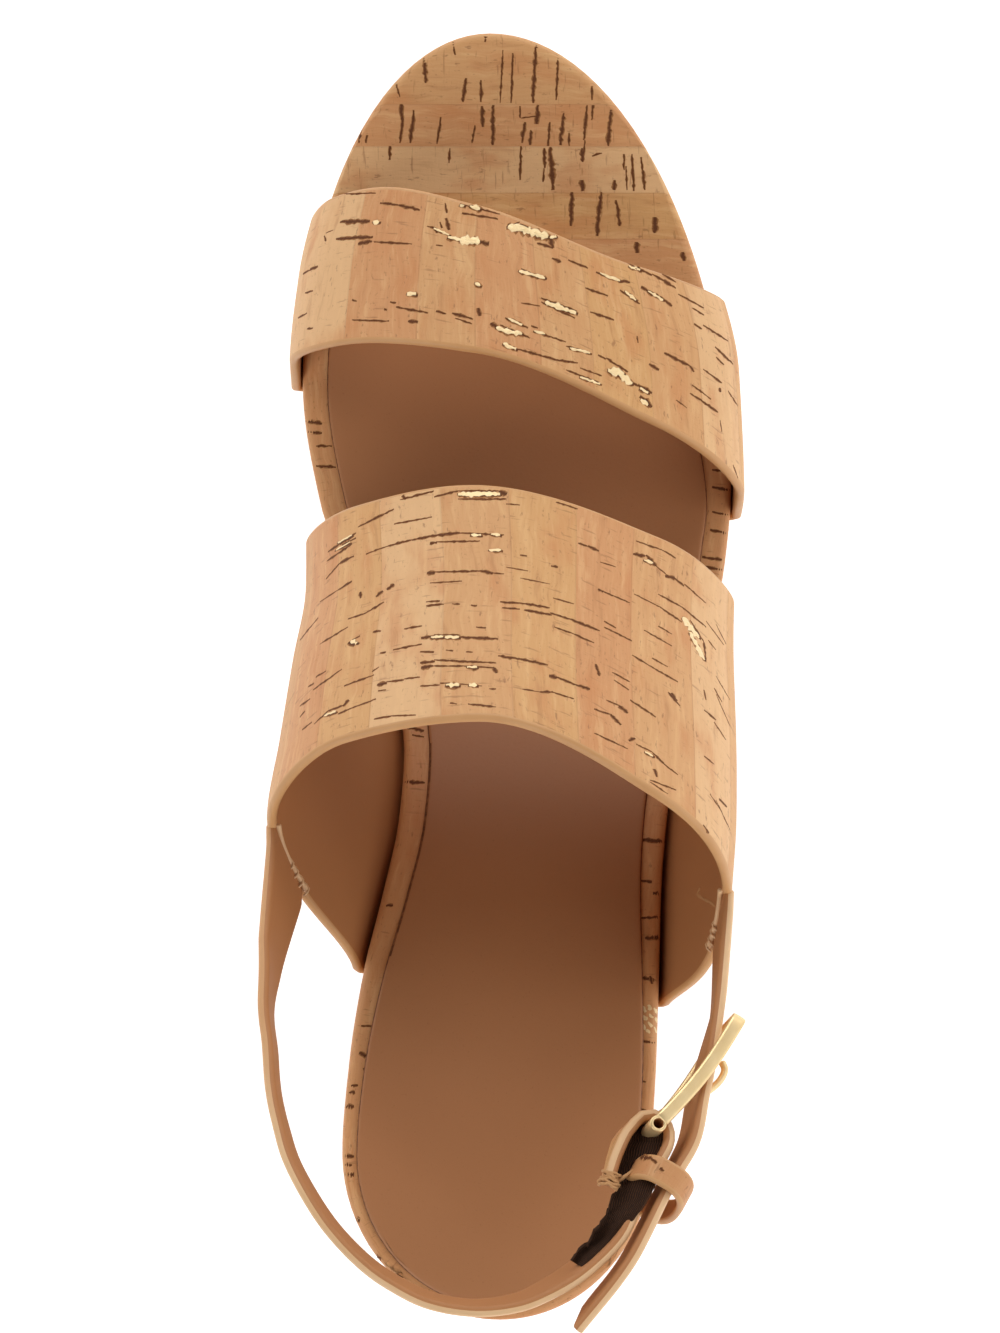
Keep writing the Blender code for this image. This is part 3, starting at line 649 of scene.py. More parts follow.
TOE_BARK = [
    (424, 53, 426, 83, 0.8), (394, 78, 400, 97, 0.4), (453, 42, 455, 55, 0.4), (503, 50, 500, 103, 0.4),
    (513, 53, 511, 103, 0.45), (536, 45, 533, 103, 0.7), (558, 58, 556, 100, 0.5), (592, 86, 592, 100, 0.5),
    (486, 34, 485, 42, 0.5), (466, 78, 463, 102, 0.7), (481, 80, 481, 102, 0.6), (401, 104, 402, 120, 0.8),
    (403, 118, 400, 143, 0.6), (414, 110, 410, 143, 0.7), (441, 117, 437, 144, 0.5),
    (482, 106, 483, 127, 0.8), (493, 105, 493, 145, 0.7), (475, 125, 472, 143, 0.4),
    (520, 106, 520, 118, 0.4), (521, 118, 538, 116, 0.3), (538, 105, 537, 124, 1.0),
    (525, 122, 522, 143, 0.7), (531, 130, 530, 145, 0.6), (550, 122, 548, 146, 0.6),
    (564, 113, 560, 145, 0.8), (569, 133, 569, 146, 0.5), (587, 105, 584, 140, 0.6),
    (585, 140, 583, 158, 0.4), (593, 105, 592, 120, 0.6), (611, 110, 608, 146, 0.9),
    (390, 146, 390, 160, 0.6), (450, 148, 449, 163, 0.4), (521, 146, 520, 180, 0.5),
    (544, 148, 545, 168, 0.6), (544, 168, 543, 182, 0.35), (550, 147, 553, 190, 1.0),
    (582, 148, 583, 162, 0.7), (582, 180, 583, 191, 1.0), (592, 156, 602, 153, 0.4),
    (624, 154, 624, 170, 0.4), (626, 166, 627, 190, 0.4), (632, 154, 634, 191, 0.6),
    (641, 157, 645, 190, 0.5), (615, 180, 614, 190, 0.8), (572, 192, 571, 226, 0.8),
    (601, 192, 597, 236, 0.8), (616, 200, 620, 226, 0.7), (655, 217, 655, 233, 1.0),
    (637, 242, 637, 253, 1.2), (683, 252, 684, 261, 0.9), (362, 128, 359, 143, 0.6),
    (367, 135, 366, 143, 0.5),
]
RIM_BARK = [
    (407, 727, 424, 731, 0.7), (412, 735, 424, 737, 0.5), (405, 782, 425, 783, 0.8),
    (306, 421, 322, 424, 0.8), (308, 432, 322, 433, 0.6), (316, 446, 332, 446, 0.5),
    (316, 466, 336, 467, 0.6), (386, 906, 393, 905, 0.6), (361, 1026, 373, 1026, 0.4),
    (359, 1053, 366, 1056, 1.0), (364, 1068, 366, 1076, 0.5), (351, 1086, 358, 1085, 0.5),
    (349, 1093, 355, 1092, 0.6), (346, 1107, 354, 1106, 0.8), (345, 1156, 354, 1156, 0.8),
    (345, 1165, 352, 1165, 0.5), (345, 1174, 354, 1175, 0.9), (354, 1218, 360, 1220, 1.0),
    (375, 1255, 381, 1259, 1.1), (397, 1273, 403, 1278, 0.7), (712, 470, 726, 471, 0.4),
    (712, 487, 730, 490, 0.6), (712, 512, 728, 515, 0.5), (710, 530, 726, 533, 0.6),
    (702, 557, 722, 560, 0.6), (702, 566, 722, 570, 0.6), (643, 840, 667, 842, 0.9),
    (641, 881, 652, 882, 0.6), (653, 893, 661, 894, 0.8), (641, 918, 660, 917, 0.6),
    (645, 938, 661, 937, 0.8), (642, 978, 656, 980, 0.7), (650, 976, 652, 984, 0.5),
    (641, 1041, 655, 1043, 0.6), (639, 1080, 646, 1082, 0.4), (639, 1109, 648, 1111, 0.5),
]
inlay("footbed_bark", TOE_BARK + RIM_BARK, footbed, bark)


# Sock: one sheet of smooth brown leather over thin foam, glued inside the rim from the heel to under the
# toe strap. Its face is left plain, and its cut edge is turned down, painted dark brown as the shade
# where it meets the rim.
SOCK_FRONT, SOCK_SLANT, SOCK_THICKNESS = 189.0, 0.25, 1.0
SOCK_WAIST_Y, SOCK_HEEL_Y, ARCH_X, OUTER_X = 140.0, 36.0, -36.0, 28.0
HEEL_BLEND_Y, HEEL_BLEND, HEEL_WIDER, HEEL_LONGER = 95.0, 60.0, 0.085, 0.075
OUTER_BLEND, OUTER_EASE = 40.0, 0.5
sock_leather, shader, wire = new_material("sock_leather", Specular_IOR_Level=0.45)
drift, pores = wire.noise(22.0, 3.0, 0.55), wire.noise(2600.0)
pebble = wire.node("ShaderNodeTexVoronoi", {"feature": "SMOOTH_F1"}, {"Vector": wire.spot(), "Scale": 1500.0})
tint = wire.mix(paint(165, 110, 69), paint(175, 118, 74), drift)
coat(shader, wire, wire.mix(tint, paint(124, 76, 44), pores.between(0.62, 0.8) * 0.25),
     0.46 + 0.12 * drift + 0.06 * pores, pebble + 0.4 * pores, 0.12, 0.00012)
# Painted shade: dark brown on the sock's turned-down edge stands in for the shade where it meets the rim.
sock_edge_shade, shader, wire = new_material("sock_edge_shade", Specular_IOR_Level=0.3)
shade_line_mottle = wire.noise(900.0, 3.0, 0.6)
coat(shader, wire, wire.mix(paint(92, 54, 28), paint(140, 92, 56), shade_line_mottle.between(0.3, 0.7)),
     0.55 + 0.2 * shade_line_mottle, shade_line_mottle, 0.2, 0.0002)


def sock_ease(point):
    """The sock is cut slantwise under the toe strap, and comes nearer the edge round the heel and outside."""
    heel = clamp((HEEL_BLEND_Y - point.y) / HEEL_BLEND)
    heel = heel * heel * (3 - 2 * heel)
    outer = max(0.0, point.x / OUTER_X) * clamp((SOCK_WAIST_Y - point.y) / OUTER_BLEND)
    front = max(0.0, (point.y - SOCK_WAIST_Y) / (SOCK_FRONT - SOCK_WAIST_Y)) * SOCK_SLANT * (point.x - ARCH_X)
    return Vector((point.x * HEEL_WIDER * heel + OUTER_EASE * outer,
                   min(0.0, point.y - SOCK_HEEL_Y) * HEEL_LONGER * heel - front))


mesh, crest = sole_layer(margin=4.6, back=0.0, front=SOCK_FRONT, rings=[
    (0.0, raised(footbed_top, 0.05)), (0.0, raised(footbed_top, SOCK_THICKNESS))], ease=sock_ease)
round_off(mesh, crest, 0.7, 4)
# The sock's faces that do not face up take the dark brown of painted shade.
for face in mesh.faces:
    face.material_index = int(abs(face.normal.z) < 0.72)
piece("leather_sock", mesh, [sock_leather, sock_edge_shade], "insole_sock")


# Toe strap: cork sheet over a brown lining, its edges turned and rolled smooth, drawn over the toes and
# lasted under the footbed on both sides. Its strips of cork run from front to back of the foot.
LAST = [(57.0, -38.0, 38.6, 29.0, -3.0, 84.0), (76.0, -39.2, 39.4, 30.0, -3.0, 81.0),
        (90.0, -39.9, 40.5, 30.0, -3.0, 76.5), (104.0, -37.9, 40.8, 28.0, -3.5, 71.0),
        (118.0, -35.9, 40.7, 24.0, -4.0, 64.5), (132.0, -33.8, 41.3, 18.0, -4.0, 57.0),
        (148.0, -34.2, 43.4, 13.0, -5.0, 48.5), (172.0, -37.3, 42.6, 10.0, -6.0, 38.5),
        (190.0, -35.6, 38.4, 8.0, -6.0, 31.0), (206.0, -31.8, 32.0, 6.0, -5.0, 24.0)]
TOE_STRAP = [(0.00, 197.0, 169.0), (0.25, 200.5, 173.5), (0.32, 203.7, 175.0), (0.40, 205.2, 176.2),
             (0.50, 201.8, 174.3), (0.62, 190.5, 161.0), (0.75, 185.0, 149.0), (1.00, 184.0, 145.0)]
STRAP_THICKNESS, STRAP_GAP = 1.8, 0.4
EDGE_RADIUS, HEM, HEM_TURN, HEM_RUN, FLARE = 1.0, 0.05, 0.02, 100.0, 1.25
FINE_STEPS, EDGE_ROUND = 600, 0.42
last_medial, last_lateral, last_side, last_ridge_x, last_ridge = (follow(LAST, k) for k in range(1, 6))


def last_point(turn, y):
    """A point on the last's skin, for a turn from 0 at the footbed's inner edge to 1 at its outer edge."""
    inner_side = turn < 0.5
    side_x = last_medial(y) if inner_side else last_lateral(y)
    foot_x = medial_x(y) - STRAP_GAP if inner_side else lateral_x(y) + STRAP_GAP
    foot_z, side_z = footbed_bottom(y) + EDGE_RADIUS, footbed_top(y) + last_side(y)
    ridge_x, ridge_z = last_ridge_x(y), footbed_top(y) + last_ridge(y)
    rise = 4 * min(turn, 1 - turn)
    if rise < 1:
        flare = math.sin(rise * math.pi / 2) ** FLARE
        return Vector((foot_x + (side_x - foot_x) * flare, y, foot_z + (side_z - foot_z) * rise))
    angle = (rise - 1) * math.pi / 2
    return Vector((ridge_x + (side_x - ridge_x) * math.cos(angle), y,
                   side_z + (ridge_z - side_z) * math.sin(angle)))


def strap_face(table):
    """The inner face of a strap for t along it and a share from front to back. Past 0 and 1 its end turns
    round the footbed's lower edge."""
    front, back = follow(table, 1), follow(table, 2)

    def face(t, share):
        turn = clamp(t)
        y = front(turn) + (back(turn) - front(turn)) * share
        if t == turn:
            return last_point(turn, y)
        side = -1 if t < 0 else 1
        edge = medial_x(y) if side < 0 else lateral_x(y)
        over = abs(t - turn)
        bend = min(over / HEM_TURN, 1.0) * math.pi / 2
        radius, under = EDGE_RADIUS + STRAP_GAP, max(0.0, over - HEM_TURN) * HEM_RUN
        return Vector((edge - side * (EDGE_RADIUS + under) + side * radius * math.cos(bend), y,
                       footbed_bottom(y) + EDGE_RADIUS - radius * math.sin(bend)))

    return face


def run_lengths(points):
    """How far along a line of points each of them lies."""
    runs = [0.0]
    for a, b in zip(points, points[1:]):
        runs.append(runs[-1] + max((b - a).length, 1e-6))
    return runs


def wrapped_sheet(face, columns, pitch, thickness, width, low=0.0, high=1.0, inner_edge=2):
    """A sheet with real thickness over a face. The outside takes the first material, the inside the second
    and the rolled edges the third, unless another is named for their inner half; cork is laid along it."""
    fine = [low + (high - low) * k / FINE_STEPS for k in range(FINE_STEPS + 1)]
    runs = run_lengths([face(t, 0.5) for t in fine])
    count = round(runs[-1] / pitch)
    ts = []
    for k in range(count + 1):
        run = runs[-1] * k / count
        i = bracket(runs, run)
        ts.append(fine[i] + (fine[i + 1] - fine[i]) * (run - runs[i]) / (runs[i + 1] - runs[i]))
    mesh = bmesh.new()
    slab_grid(mesh, count, columns)
    layer = mesh.loops.layers.uv.new("cork")
    for poly in mesh.faces:
        heights = {round(vert.co.z) for vert in poly.verts}
        poly.material_index = 2 if len(heights) > 1 else 0 if 1 in heights else 1
        for loop in poly.loops:
            loop[layer].uv = (runs[-1] * (loop.vert.co.x + 1) / 2, width * (loop.vert.co.y + 1) / 2)
    outer_edges, inner_edges = [], []
    for edge in mesh.edges:
        a, b = (vert.co for vert in edge.verts)
        if abs(a.y) > GRID_EDGE and a.y == b.y and abs(a.z - b.z) < 0.5:
            (outer_edges if a.z > 0.5 else inner_edges).append(edge)
    tiny_t, tiny_share = 0.002, 0.01
    for vert in mesh.verts:
        t, share = ts[round((vert.co.x + 1) / 2 * count)], (vert.co.y + 1) / 2
        along = face(min(t + tiny_t, high), share) - face(max(t - tiny_t, low), share)
        across = face(t, share + tiny_share) - face(t, share - tiny_share)
        outward = across.cross(along).normalized()
        vert.co = place(face(t, share) + outward * thickness * vert.co.z)
    face_outwards(mesh)
    if mesh.calc_volume(signed=True) < 0:
        bmesh.ops.reverse_faces(mesh, faces=mesh.faces[:])
    for rounded, material in ((outer_edges, 2), (inner_edges, inner_edge)):
        for poly in round_off(mesh, rounded, thickness * EDGE_ROUND, 4):
            poly.material_index = material
    return mesh


lining_leather, shader, wire = new_material("lining_leather", Specular_IOR_Level=0.4)
drift, pores = wire.noise(30.0, 3.0, 0.6), wire.noise(2200.0, 3.0, 0.6)
coat(shader, wire, wire.mix(paint(174, 117, 71), paint(184, 126, 79), drift), 0.5 + 0.12 * drift,
     pores, 0.12, 0.00012)


def turned_edge(name, light, dark, fade=None):
    """The smooth turned edge of a strap, in two close tones. In front of a fading stretch of the shoe's
    length, in metres, it is browner."""
    made, shader, wire = new_material(name, Specular_IOR_Level=0.45)
    drift, fine = wire.noise(90.0, 3.0, 0.6), wire.noise(1600.0)
    tint = wire.mix(light, dark, drift)
    if fade:
        tint = wire.mix(tint, paint(204, 152, 102), wire.spot().axis(1).between(*fade))
    coat(shader, wire, tint, 0.42 + 0.14 * fine, fine + drift, 0.15, 0.00015)
    return made


rolled_edge = turned_edge("rolled_edge", paint(210, 160, 108), paint(192, 140, 88))
gold_leaf, shader, wire = new_material("gold_leaf", Specular_IOR_Level=0.6)
crinkle, leaf_edge = wire.noise(1800.0, 3.0, 0.6), flake_edge(wire)
leaf = wire.mix(paint(250, 226, 178), paint(232, 196, 138), crinkle)
wire.plug(shader["Metallic"], 0.3 * (1 - leaf_edge.between(0.6, 0.9)))
coat(shader, wire, wire.mix(leaf, paint(176, 122, 70), leaf_edge.between(0.8, 1.0) * 0.7),
     0.25 + 0.3 * crinkle, crinkle, 0.5, 0.0003)


def lay_gold(name, rows, carrier):
    inlay(name, rows, carrier, gold_leaf, proud=0.05, jagged=0.4, columns=4)


def leaf_rims(rows):
    """The torn bark that shows round each gold flake, as rows a little longer and wider than it."""
    return [(x0 - 1.0, y0 + 0.5, x1 + 2.0, y1 + 1.2, width + 0.2) for x0, y0, x1, y1, width in rows]


TOE_STRAP_BARK = [
    (344, 194, 376, 193, 0.35), (380, 203, 398, 205, 0.5), (398, 205, 420, 210, 0.6),
    (340, 222, 370, 221, 0.9), (336, 239, 373, 237, 0.7), (358, 244, 372, 241, 0.8),
    (374, 242, 412, 244, 0.45), (310, 270, 318, 266, 0.6), (303, 274, 310, 270, 0.35),
    (305, 293, 313, 291, 0.4), (298, 318, 307, 313, 0.4), (307, 329, 313, 328, 0.35),
    (324, 236, 326, 241, 0.4), (326, 233, 333, 230, 0.3), (352, 320, 389, 321, 0.4),
    (396, 307, 428, 313, 0.5), (390, 302, 396, 303, 0.4), (408, 321, 418, 322, 0.7),
    (384, 309, 387, 310, 0.4), (436, 311, 446, 314, 0.5), (452, 313, 473, 319, 0.6),
    (455, 318, 472, 324, 0.35), (478, 308, 480, 316, 0.8), (445, 203, 447, 213, 0.4),
    (436, 228, 437, 233, 0.6), (446, 218, 449, 230, 0.6), (440, 222, 442, 228, 0.4),
    (460, 204, 500, 214, 0.4), (462, 213, 498, 219, 0.5), (427, 226, 437, 229, 0.4),
    (481, 243, 489, 244, 1.0), (352, 300, 357, 301, 0.4), (436, 245, 443, 246, 0.3),
    (506, 227, 520, 222, 0.4), (520, 224, 552, 238, 0.5), (550, 237, 553, 248, 0.8),
    (537, 243, 553, 248, 0.6), (552, 258, 561, 262, 0.7), (568, 260, 588, 268, 0.5),
    (574, 229, 592, 237, 0.4), (521, 269, 545, 279, 0.5), (585, 288, 608, 296, 0.45),
    (596, 272, 622, 281, 0.5), (619, 281, 630, 282, 0.7), (541, 298, 577, 311, 0.5),
    (541, 302, 575, 318, 0.5), (590, 312, 614, 320, 0.45), (521, 303, 540, 306, 0.3),
    (505, 318, 528, 328, 0.6), (531, 326, 538, 328, 0.5), (536, 332, 566, 342, 0.4),
    (566, 346, 590, 353, 0.5), (490, 324, 500, 328, 1.0), (500, 325, 530, 338, 0.5),
    (503, 345, 560, 361, 0.5), (557, 360, 578, 363, 0.5), (566, 370, 600, 383, 0.5),
    (580, 368, 602, 376, 0.35), (598, 355, 606, 359, 0.4), (606, 358, 628, 372, 0.5),
    (628, 380, 638, 386, 0.4), (638, 385, 652, 393, 0.9), (640, 396, 652, 407, 1.0),
    (627, 263, 652, 275, 0.6), (648, 266, 676, 282, 0.5), (652, 274, 676, 288, 0.6),
    (620, 290, 640, 304, 0.5), (641, 287, 648, 291, 0.9), (664, 300, 672, 306, 0.8),
    (648, 290, 664, 299, 0.4), (678, 294, 704, 308, 0.4), (692, 308, 704, 315, 0.4),
    (694, 324, 702, 329, 0.5), (703, 325, 728, 341, 0.5), (715, 347, 733, 364, 0.6),
    (716, 357, 724, 365, 0.45), (664, 353, 690, 366, 0.6), (690, 366, 694, 372, 0.7),
    (649, 364, 659, 370, 0.7), (703, 369, 722, 383, 0.5), (692, 385, 711, 399, 0.4),
    (690, 393, 718, 412, 0.55), (719, 388, 721, 392, 0.8), (728, 391, 738, 406, 0.45),
    (733, 465, 738, 478, 0.5), (720, 420, 722, 432, 0.3), (676, 400, 687, 408, 0.3),
    (637, 336, 638, 343, 0.35),
]
TOE_STRAP_GOLD = [(508, 226, 530, 231, 1.5), (526, 230, 548, 237, 1.4), (550, 238, 556, 236, 0.6),
                  (434, 228, 449, 235, 0.35), (448, 237, 462, 240, 0.7), (460, 240, 480, 241, 1.5),
                  (470, 206, 480, 209, 0.8), (460, 205, 464, 206, 0.5), (519, 271, 545, 278, 0.7),
                  (545, 302, 576, 313, 0.9), (496, 328, 522, 334, 0.9), (508, 318, 522, 325, 0.5),
                  (503, 344, 516, 349, 0.7), (534, 331, 545, 334, 0.5), (570, 348, 590, 353, 0.5),
                  (580, 377, 600, 384, 0.5), (608, 370, 624, 374, 1.3), (618, 374, 632, 384, 1.1),
                  (640, 388, 648, 393, 0.7), (641, 399, 648, 405, 0.9), (407, 294, 416, 294, 0.7),
                  (475, 283, 480, 286, 0.6), (600, 273, 620, 281, 0.5), (625, 291, 636, 300, 0.6),
                  (648, 291, 663, 300, 0.6), (629, 266, 640, 270, 0.6), (632, 258, 640, 260, 0.5),
                  (373, 222, 379, 222, 0.6)]
toe_strips = [(0.0, TAN), (14.0, STRAW), (38.5, ROSE), (52.0, TAN), (62.0, ROSE), (74.0, TAN), (84.0, AMBER),
              (96.0, TAN), (107.0, STRAW), (118.0, AMBER), (128.0, ROSE), (140.0, STRAW)]
cork_toe_strap = cork("cork_toe_strap", toe_strips, (0.0, 200.0), marks=0.5, charted=(14.0, 126.0))
mesh = wrapped_sheet(strap_face(TOE_STRAP), columns=30, pitch=1.3, thickness=STRAP_THICKNESS, width=33.0,
                     low=-HEM, high=1 + HEM)
toe_strap = piece("cork_toe_strap", mesh, [cork_toe_strap, lining_leather, rolled_edge], "toe_strap")
RIM_GOLD = [(642, 1007, 646, 1012, 0.7), (648, 1005, 651, 1010, 0.6), (654, 1008, 657, 1013, 0.7),
            (643, 1016, 647, 1020, 0.8), (649, 1014, 653, 1018, 0.6), (655, 1018, 658, 1023, 0.6),
            (642, 1024, 645, 1030, 0.7), (648, 1022, 652, 1027, 0.7), (654, 1027, 657, 1033, 0.6),
            (646, 1030, 650, 1033, 0.5)]
lay_gold("rim_gold", RIM_GOLD, footbed)
inlay("toe_strap_bark", TOE_STRAP_BARK + leaf_rims(TOE_STRAP_GOLD), toe_strap, bark)
lay_gold("toe_strap_gold", TOE_STRAP_GOLD, toe_strap)


# Instep strap: the same build, wider and higher up the foot, cut back at an angle towards the heel on
# both sides, where the slingback's two ends are stitched inside it.
INSTEP_STRAP = [(0.00, 139.0, 61.8), (0.12, 139.2, 73.4), (0.25, 140.5, 89.0), (0.38, 146.0, 103.5),
                (0.50, 149.3, 107.3), (0.62, 140.0, 94.0), (0.75, 129.5, 76.0), (0.88, 128.8, 62.0),
                (1.00, 128.5, 55.8)]
INSTEP_BARK = [
    (328, 552, 356, 533, 0.6), (327, 561, 352, 544, 0.6), (342, 545, 356, 538, 0.5),
    (326, 579, 340, 563, 0.5), (340, 563, 354, 556, 0.6), (358, 527, 394, 509, 0.5),
    (394, 524, 432, 517, 0.45), (400, 500, 434, 491, 0.5), (434, 497, 458, 491, 0.6),
    (458, 491, 500, 491, 0.5), (499, 492, 507, 494, 1.0), (458, 499, 506, 499, 0.5),
    (506, 504, 520, 505, 0.35), (366, 554, 388, 546, 0.45), (388, 546, 412, 540, 0.6),
    (412, 540, 432, 536, 0.6), (430, 536, 460, 533, 0.8), (460, 533, 504, 535, 0.5),
    (430, 543, 437, 543, 0.8), (436, 542, 480, 541, 0.5), (427, 573, 435, 573, 0.9),
    (434, 572, 480, 571, 0.5), (480, 571, 493, 573, 0.9), (492, 573, 504, 574, 0.4),
    (430, 583, 462, 581, 0.4), (426, 602, 440, 601, 0.6), (426, 606, 444, 604, 0.6),
    (452, 604, 460, 604, 0.4), (471, 605, 477, 606, 0.5), (320, 602, 338, 590, 0.4),
    (338, 590, 352, 581, 0.6), (360, 592, 361, 598, 0.6), (376, 597, 383, 591, 0.9),
    (387, 590, 394, 584, 0.9), (348, 619, 366, 613, 0.45), (366, 613, 384, 602, 0.6),
    (300, 640, 318, 618, 0.6), (320, 644, 348, 627, 0.5), (348, 643, 355, 645, 0.9),
    (352, 640, 360, 636, 0.5), (373, 632, 381, 631, 0.6), (404, 629, 422, 626, 0.5),
    (393, 650, 422, 644, 0.5), (380, 653, 386, 652, 0.5), (421, 638, 435, 636, 0.8),
    (434, 635, 460, 635, 0.4), (458, 637, 498, 639, 0.8), (420, 652, 434, 652, 0.6),
    (446, 650, 453, 651, 0.4), (466, 652, 473, 652, 0.4), (420, 663, 435, 661, 0.8),
    (434, 660, 496, 663, 0.6), (421, 668, 433, 666, 1.0), (432, 666, 464, 666, 0.5),
    (464, 666, 496, 668, 0.5), (493, 667, 497, 673, 0.8), (476, 627, 486, 628, 0.5),
    (316, 677, 326, 671, 0.5), (308, 687, 314, 683, 0.6), (313, 690, 342, 669, 0.5),
    (344, 686, 374, 675, 0.5), (372, 672, 379, 667, 0.4), (377, 685, 387, 683, 0.9),
    (386, 682, 404, 680, 0.5), (404, 679, 420, 677, 0.4), (378, 691, 386, 690, 0.4),
    (420, 686, 440, 685, 0.4), (440, 683, 460, 684, 0.4), (460, 684, 482, 686, 0.4),
    (489, 689, 496, 689, 0.4), (300, 706, 310, 699, 0.5), (300, 717, 305, 711, 0.6),
    (302, 730, 312, 722, 0.5), (314, 724, 328, 711, 0.5), (328, 711, 345, 705, 0.5),
    (343, 706, 349, 700, 1.0), (338, 714, 352, 708, 0.5), (352, 708, 376, 699, 0.5),
    (374, 719, 392, 716, 0.4), (392, 716, 416, 715, 0.4), (450, 703, 457, 704, 0.4),
    (468, 704, 496, 707, 0.5), (532, 492, 552, 495, 0.5), (556, 502, 578, 509, 0.4),
    (578, 543, 590, 547, 0.4), (588, 546, 599, 551, 0.7), (520, 555, 527, 556, 0.4),
    (551, 566, 558, 567, 0.6), (600, 562, 616, 567, 0.35), (506, 567, 528, 571, 0.3),
    (520, 578, 550, 584, 0.3), (553, 598, 574, 604, 0.35), (500, 602, 520, 603, 0.6),
    (520, 603, 550, 608, 0.6), (502, 608, 520, 609, 0.5), (524, 610, 552, 615, 0.6),
    (550, 613, 570, 619, 0.6), (570, 619, 600, 631, 0.6), (554, 627, 574, 634, 0.5),
    (574, 634, 594, 643, 0.5), (600, 590, 630, 603, 0.4), (598, 589, 603, 592, 0.7),
    (604, 621, 616, 628, 0.4), (604, 627, 632, 641, 0.5), (633, 554, 645, 556, 0.7),
    (646, 555, 656, 566, 1.0), (656, 566, 668, 576, 0.4), (665, 576, 675, 578, 0.8),
    (674, 578, 684, 586, 0.6), (636, 541, 662, 550, 0.4), (662, 550, 676, 558, 0.5),
    (684, 584, 706, 603, 0.45), (634, 594, 660, 607, 0.35), (660, 607, 682, 622, 0.55),
    (658, 594, 682, 607, 0.5), (682, 607, 706, 627, 0.5), (658, 626, 672, 634, 0.4),
    (644, 630, 672, 646, 0.35), (690, 620, 704, 642, 0.5), (704, 642, 706, 662, 0.6),
    (706, 621, 724, 645, 0.35), (708, 640, 716, 650, 0.35), (716, 624, 726, 644, 0.4),
    (498, 656, 520, 659, 0.8), (520, 659, 548, 665, 0.8), (632, 655, 650, 666, 0.5),
    (650, 666, 678, 682, 0.5), (652, 658, 668, 667, 0.4), (596, 664, 599, 676, 0.7),
    (612, 672, 630, 682, 0.4), (614, 680, 629, 690, 0.4), (549, 676, 557, 677, 1.0),
    (556, 677, 576, 685, 0.6), (576, 685, 590, 689, 0.6), (583, 687, 590, 689, 1.0),
    (522, 689, 540, 692, 0.3), (540, 692, 553, 692, 0.7), (552, 692, 574, 699, 0.4),
    (630, 700, 656, 717, 0.5), (668, 692, 680, 706, 0.6), (671, 693, 677, 701, 0.8),
    (606, 700, 620, 706, 0.35), (619, 706, 628, 713, 0.9), (594, 709, 612, 715, 0.6),
    (611, 715, 621, 725, 0.7), (594, 733, 628, 749, 0.4), (629, 741, 635, 738, 0.6),
    (636, 744, 652, 752, 0.4), (652, 752, 664, 764, 0.5), (664, 764, 678, 775, 0.5),
    (654, 769, 657, 777, 0.7), (650, 780, 676, 790, 0.4), (650, 782, 668, 794, 0.35),
    (704, 756, 714, 764, 0.35), (704, 690, 706, 700, 0.5), (714, 688, 722, 702, 0.4),
    (716, 694, 730, 726, 0.4), (716, 676, 730, 700, 0.4), (704, 710, 716, 720, 0.5),
    (714, 722, 726, 740, 0.4), (716, 800, 730, 830, 0.4), (710, 794, 722, 812, 0.4),
    (703, 825, 709, 833, 0.6), (719, 799, 727, 807, 0.6),
]
INSTEP_GOLD = [(458, 494, 500, 494, 1.0), (400, 491, 404, 498, 0.5), (338, 543, 352, 535, 0.4),
               (336, 550, 350, 542, 0.4), (431, 637, 443, 637, 0.8), (445, 637, 459, 637, 0.8),
               (467, 667, 477, 667, 0.8), (446, 685, 459, 685, 1.0), (469, 685, 477, 685, 0.7),
               (471, 535, 481, 535, 0.6), (491, 534, 500, 535, 0.7), (489, 550, 501, 550, 0.6),
               (351, 641, 357, 643, 0.7), (324, 716, 336, 711, 0.5), (644, 560, 653, 563, 0.6),
               (683, 617, 699, 638, 1.6), (690, 632, 704, 660, 1.3), (645, 752, 653, 756, 0.5)]
instep_strips = [(0.0, TAN), (12.0, STRAW), (24.0, AMBER), (35.0, TAN), (47.0, ROSE), (58.0, AMBER),
                 (69.0, STRAW), (81.0, TAN), (92.0, AMBER), (104.0, ROSE), (115.0, TAN), (127.0, STRAW),
                 (139.0, AMBER), (151.0, TAN), (163.0, ROSE), (175.0, STRAW), (187.0, TAN)]
cork_instep = cork("cork_instep", instep_strips, (0.0, 250.0), marks=0.5, charted=(36.0, 164.0))
mesh = wrapped_sheet(strap_face(INSTEP_STRAP), columns=44, pitch=1.4, thickness=STRAP_THICKNESS, width=50.0,
                     low=-HEM, high=1 + HEM)
instep_strap = piece("cork_instep_strap", mesh, [cork_instep, lining_leather, rolled_edge], "instep_strap")
inlay("instep_bark", INSTEP_BARK + leaf_rims(INSTEP_GOLD), instep_strap, bark)
lay_gold("instep_gold", INSTEP_GOLD, instep_strap)


# Slingback: a narrow strap of cork and lining, stitched into the back edge of the instep strap's arch side.
# It runs round the back of the heel to the buckle's roller, where it is folded back inside and sewn down.
SLING_WIDTH, SLING_THICKNESS = 12.0, 2.0
SLING_ROUTE = [(-40.8, 66.0, -12.0), (-41.4, 57.5, -3.0), (-40.6, 50.0, -2.0), (-39.8, 42.8, -2.0),
               (-38.4, 36.7, -2.0), (-36.3, 30.6, -2.0), (-32.7, 24.2, -2.0), (-28.6, 18.7, -2.0),
               (-23.5, 13.7, -2.0), (-18.6, 10.3, -2.0), (-12.3, 7.3, -2.0), (-4.6, 6.0, -2.0),
               (2.6, 6.8, -4.0), (8.0, 9.0, -7.0), (13.8, 12.6, -9.0), (19.6, 17.8, -8.0), (22.6, 22.4, -4.0),
               (25.4, 27.0, 0.0), (27.8, 31.4, 0.0), (28.3, 33.9, 0.0), (27.5, 36.0, 0.0), (25.6, 37.2, 0.0),
               (23.7, 37.0, 0.0), (22.0, 35.6, 0.0), (20.6, 33.0, 0.0), (19.5, 29.8, 0.0)]
FOLD = 17.0, 23.5
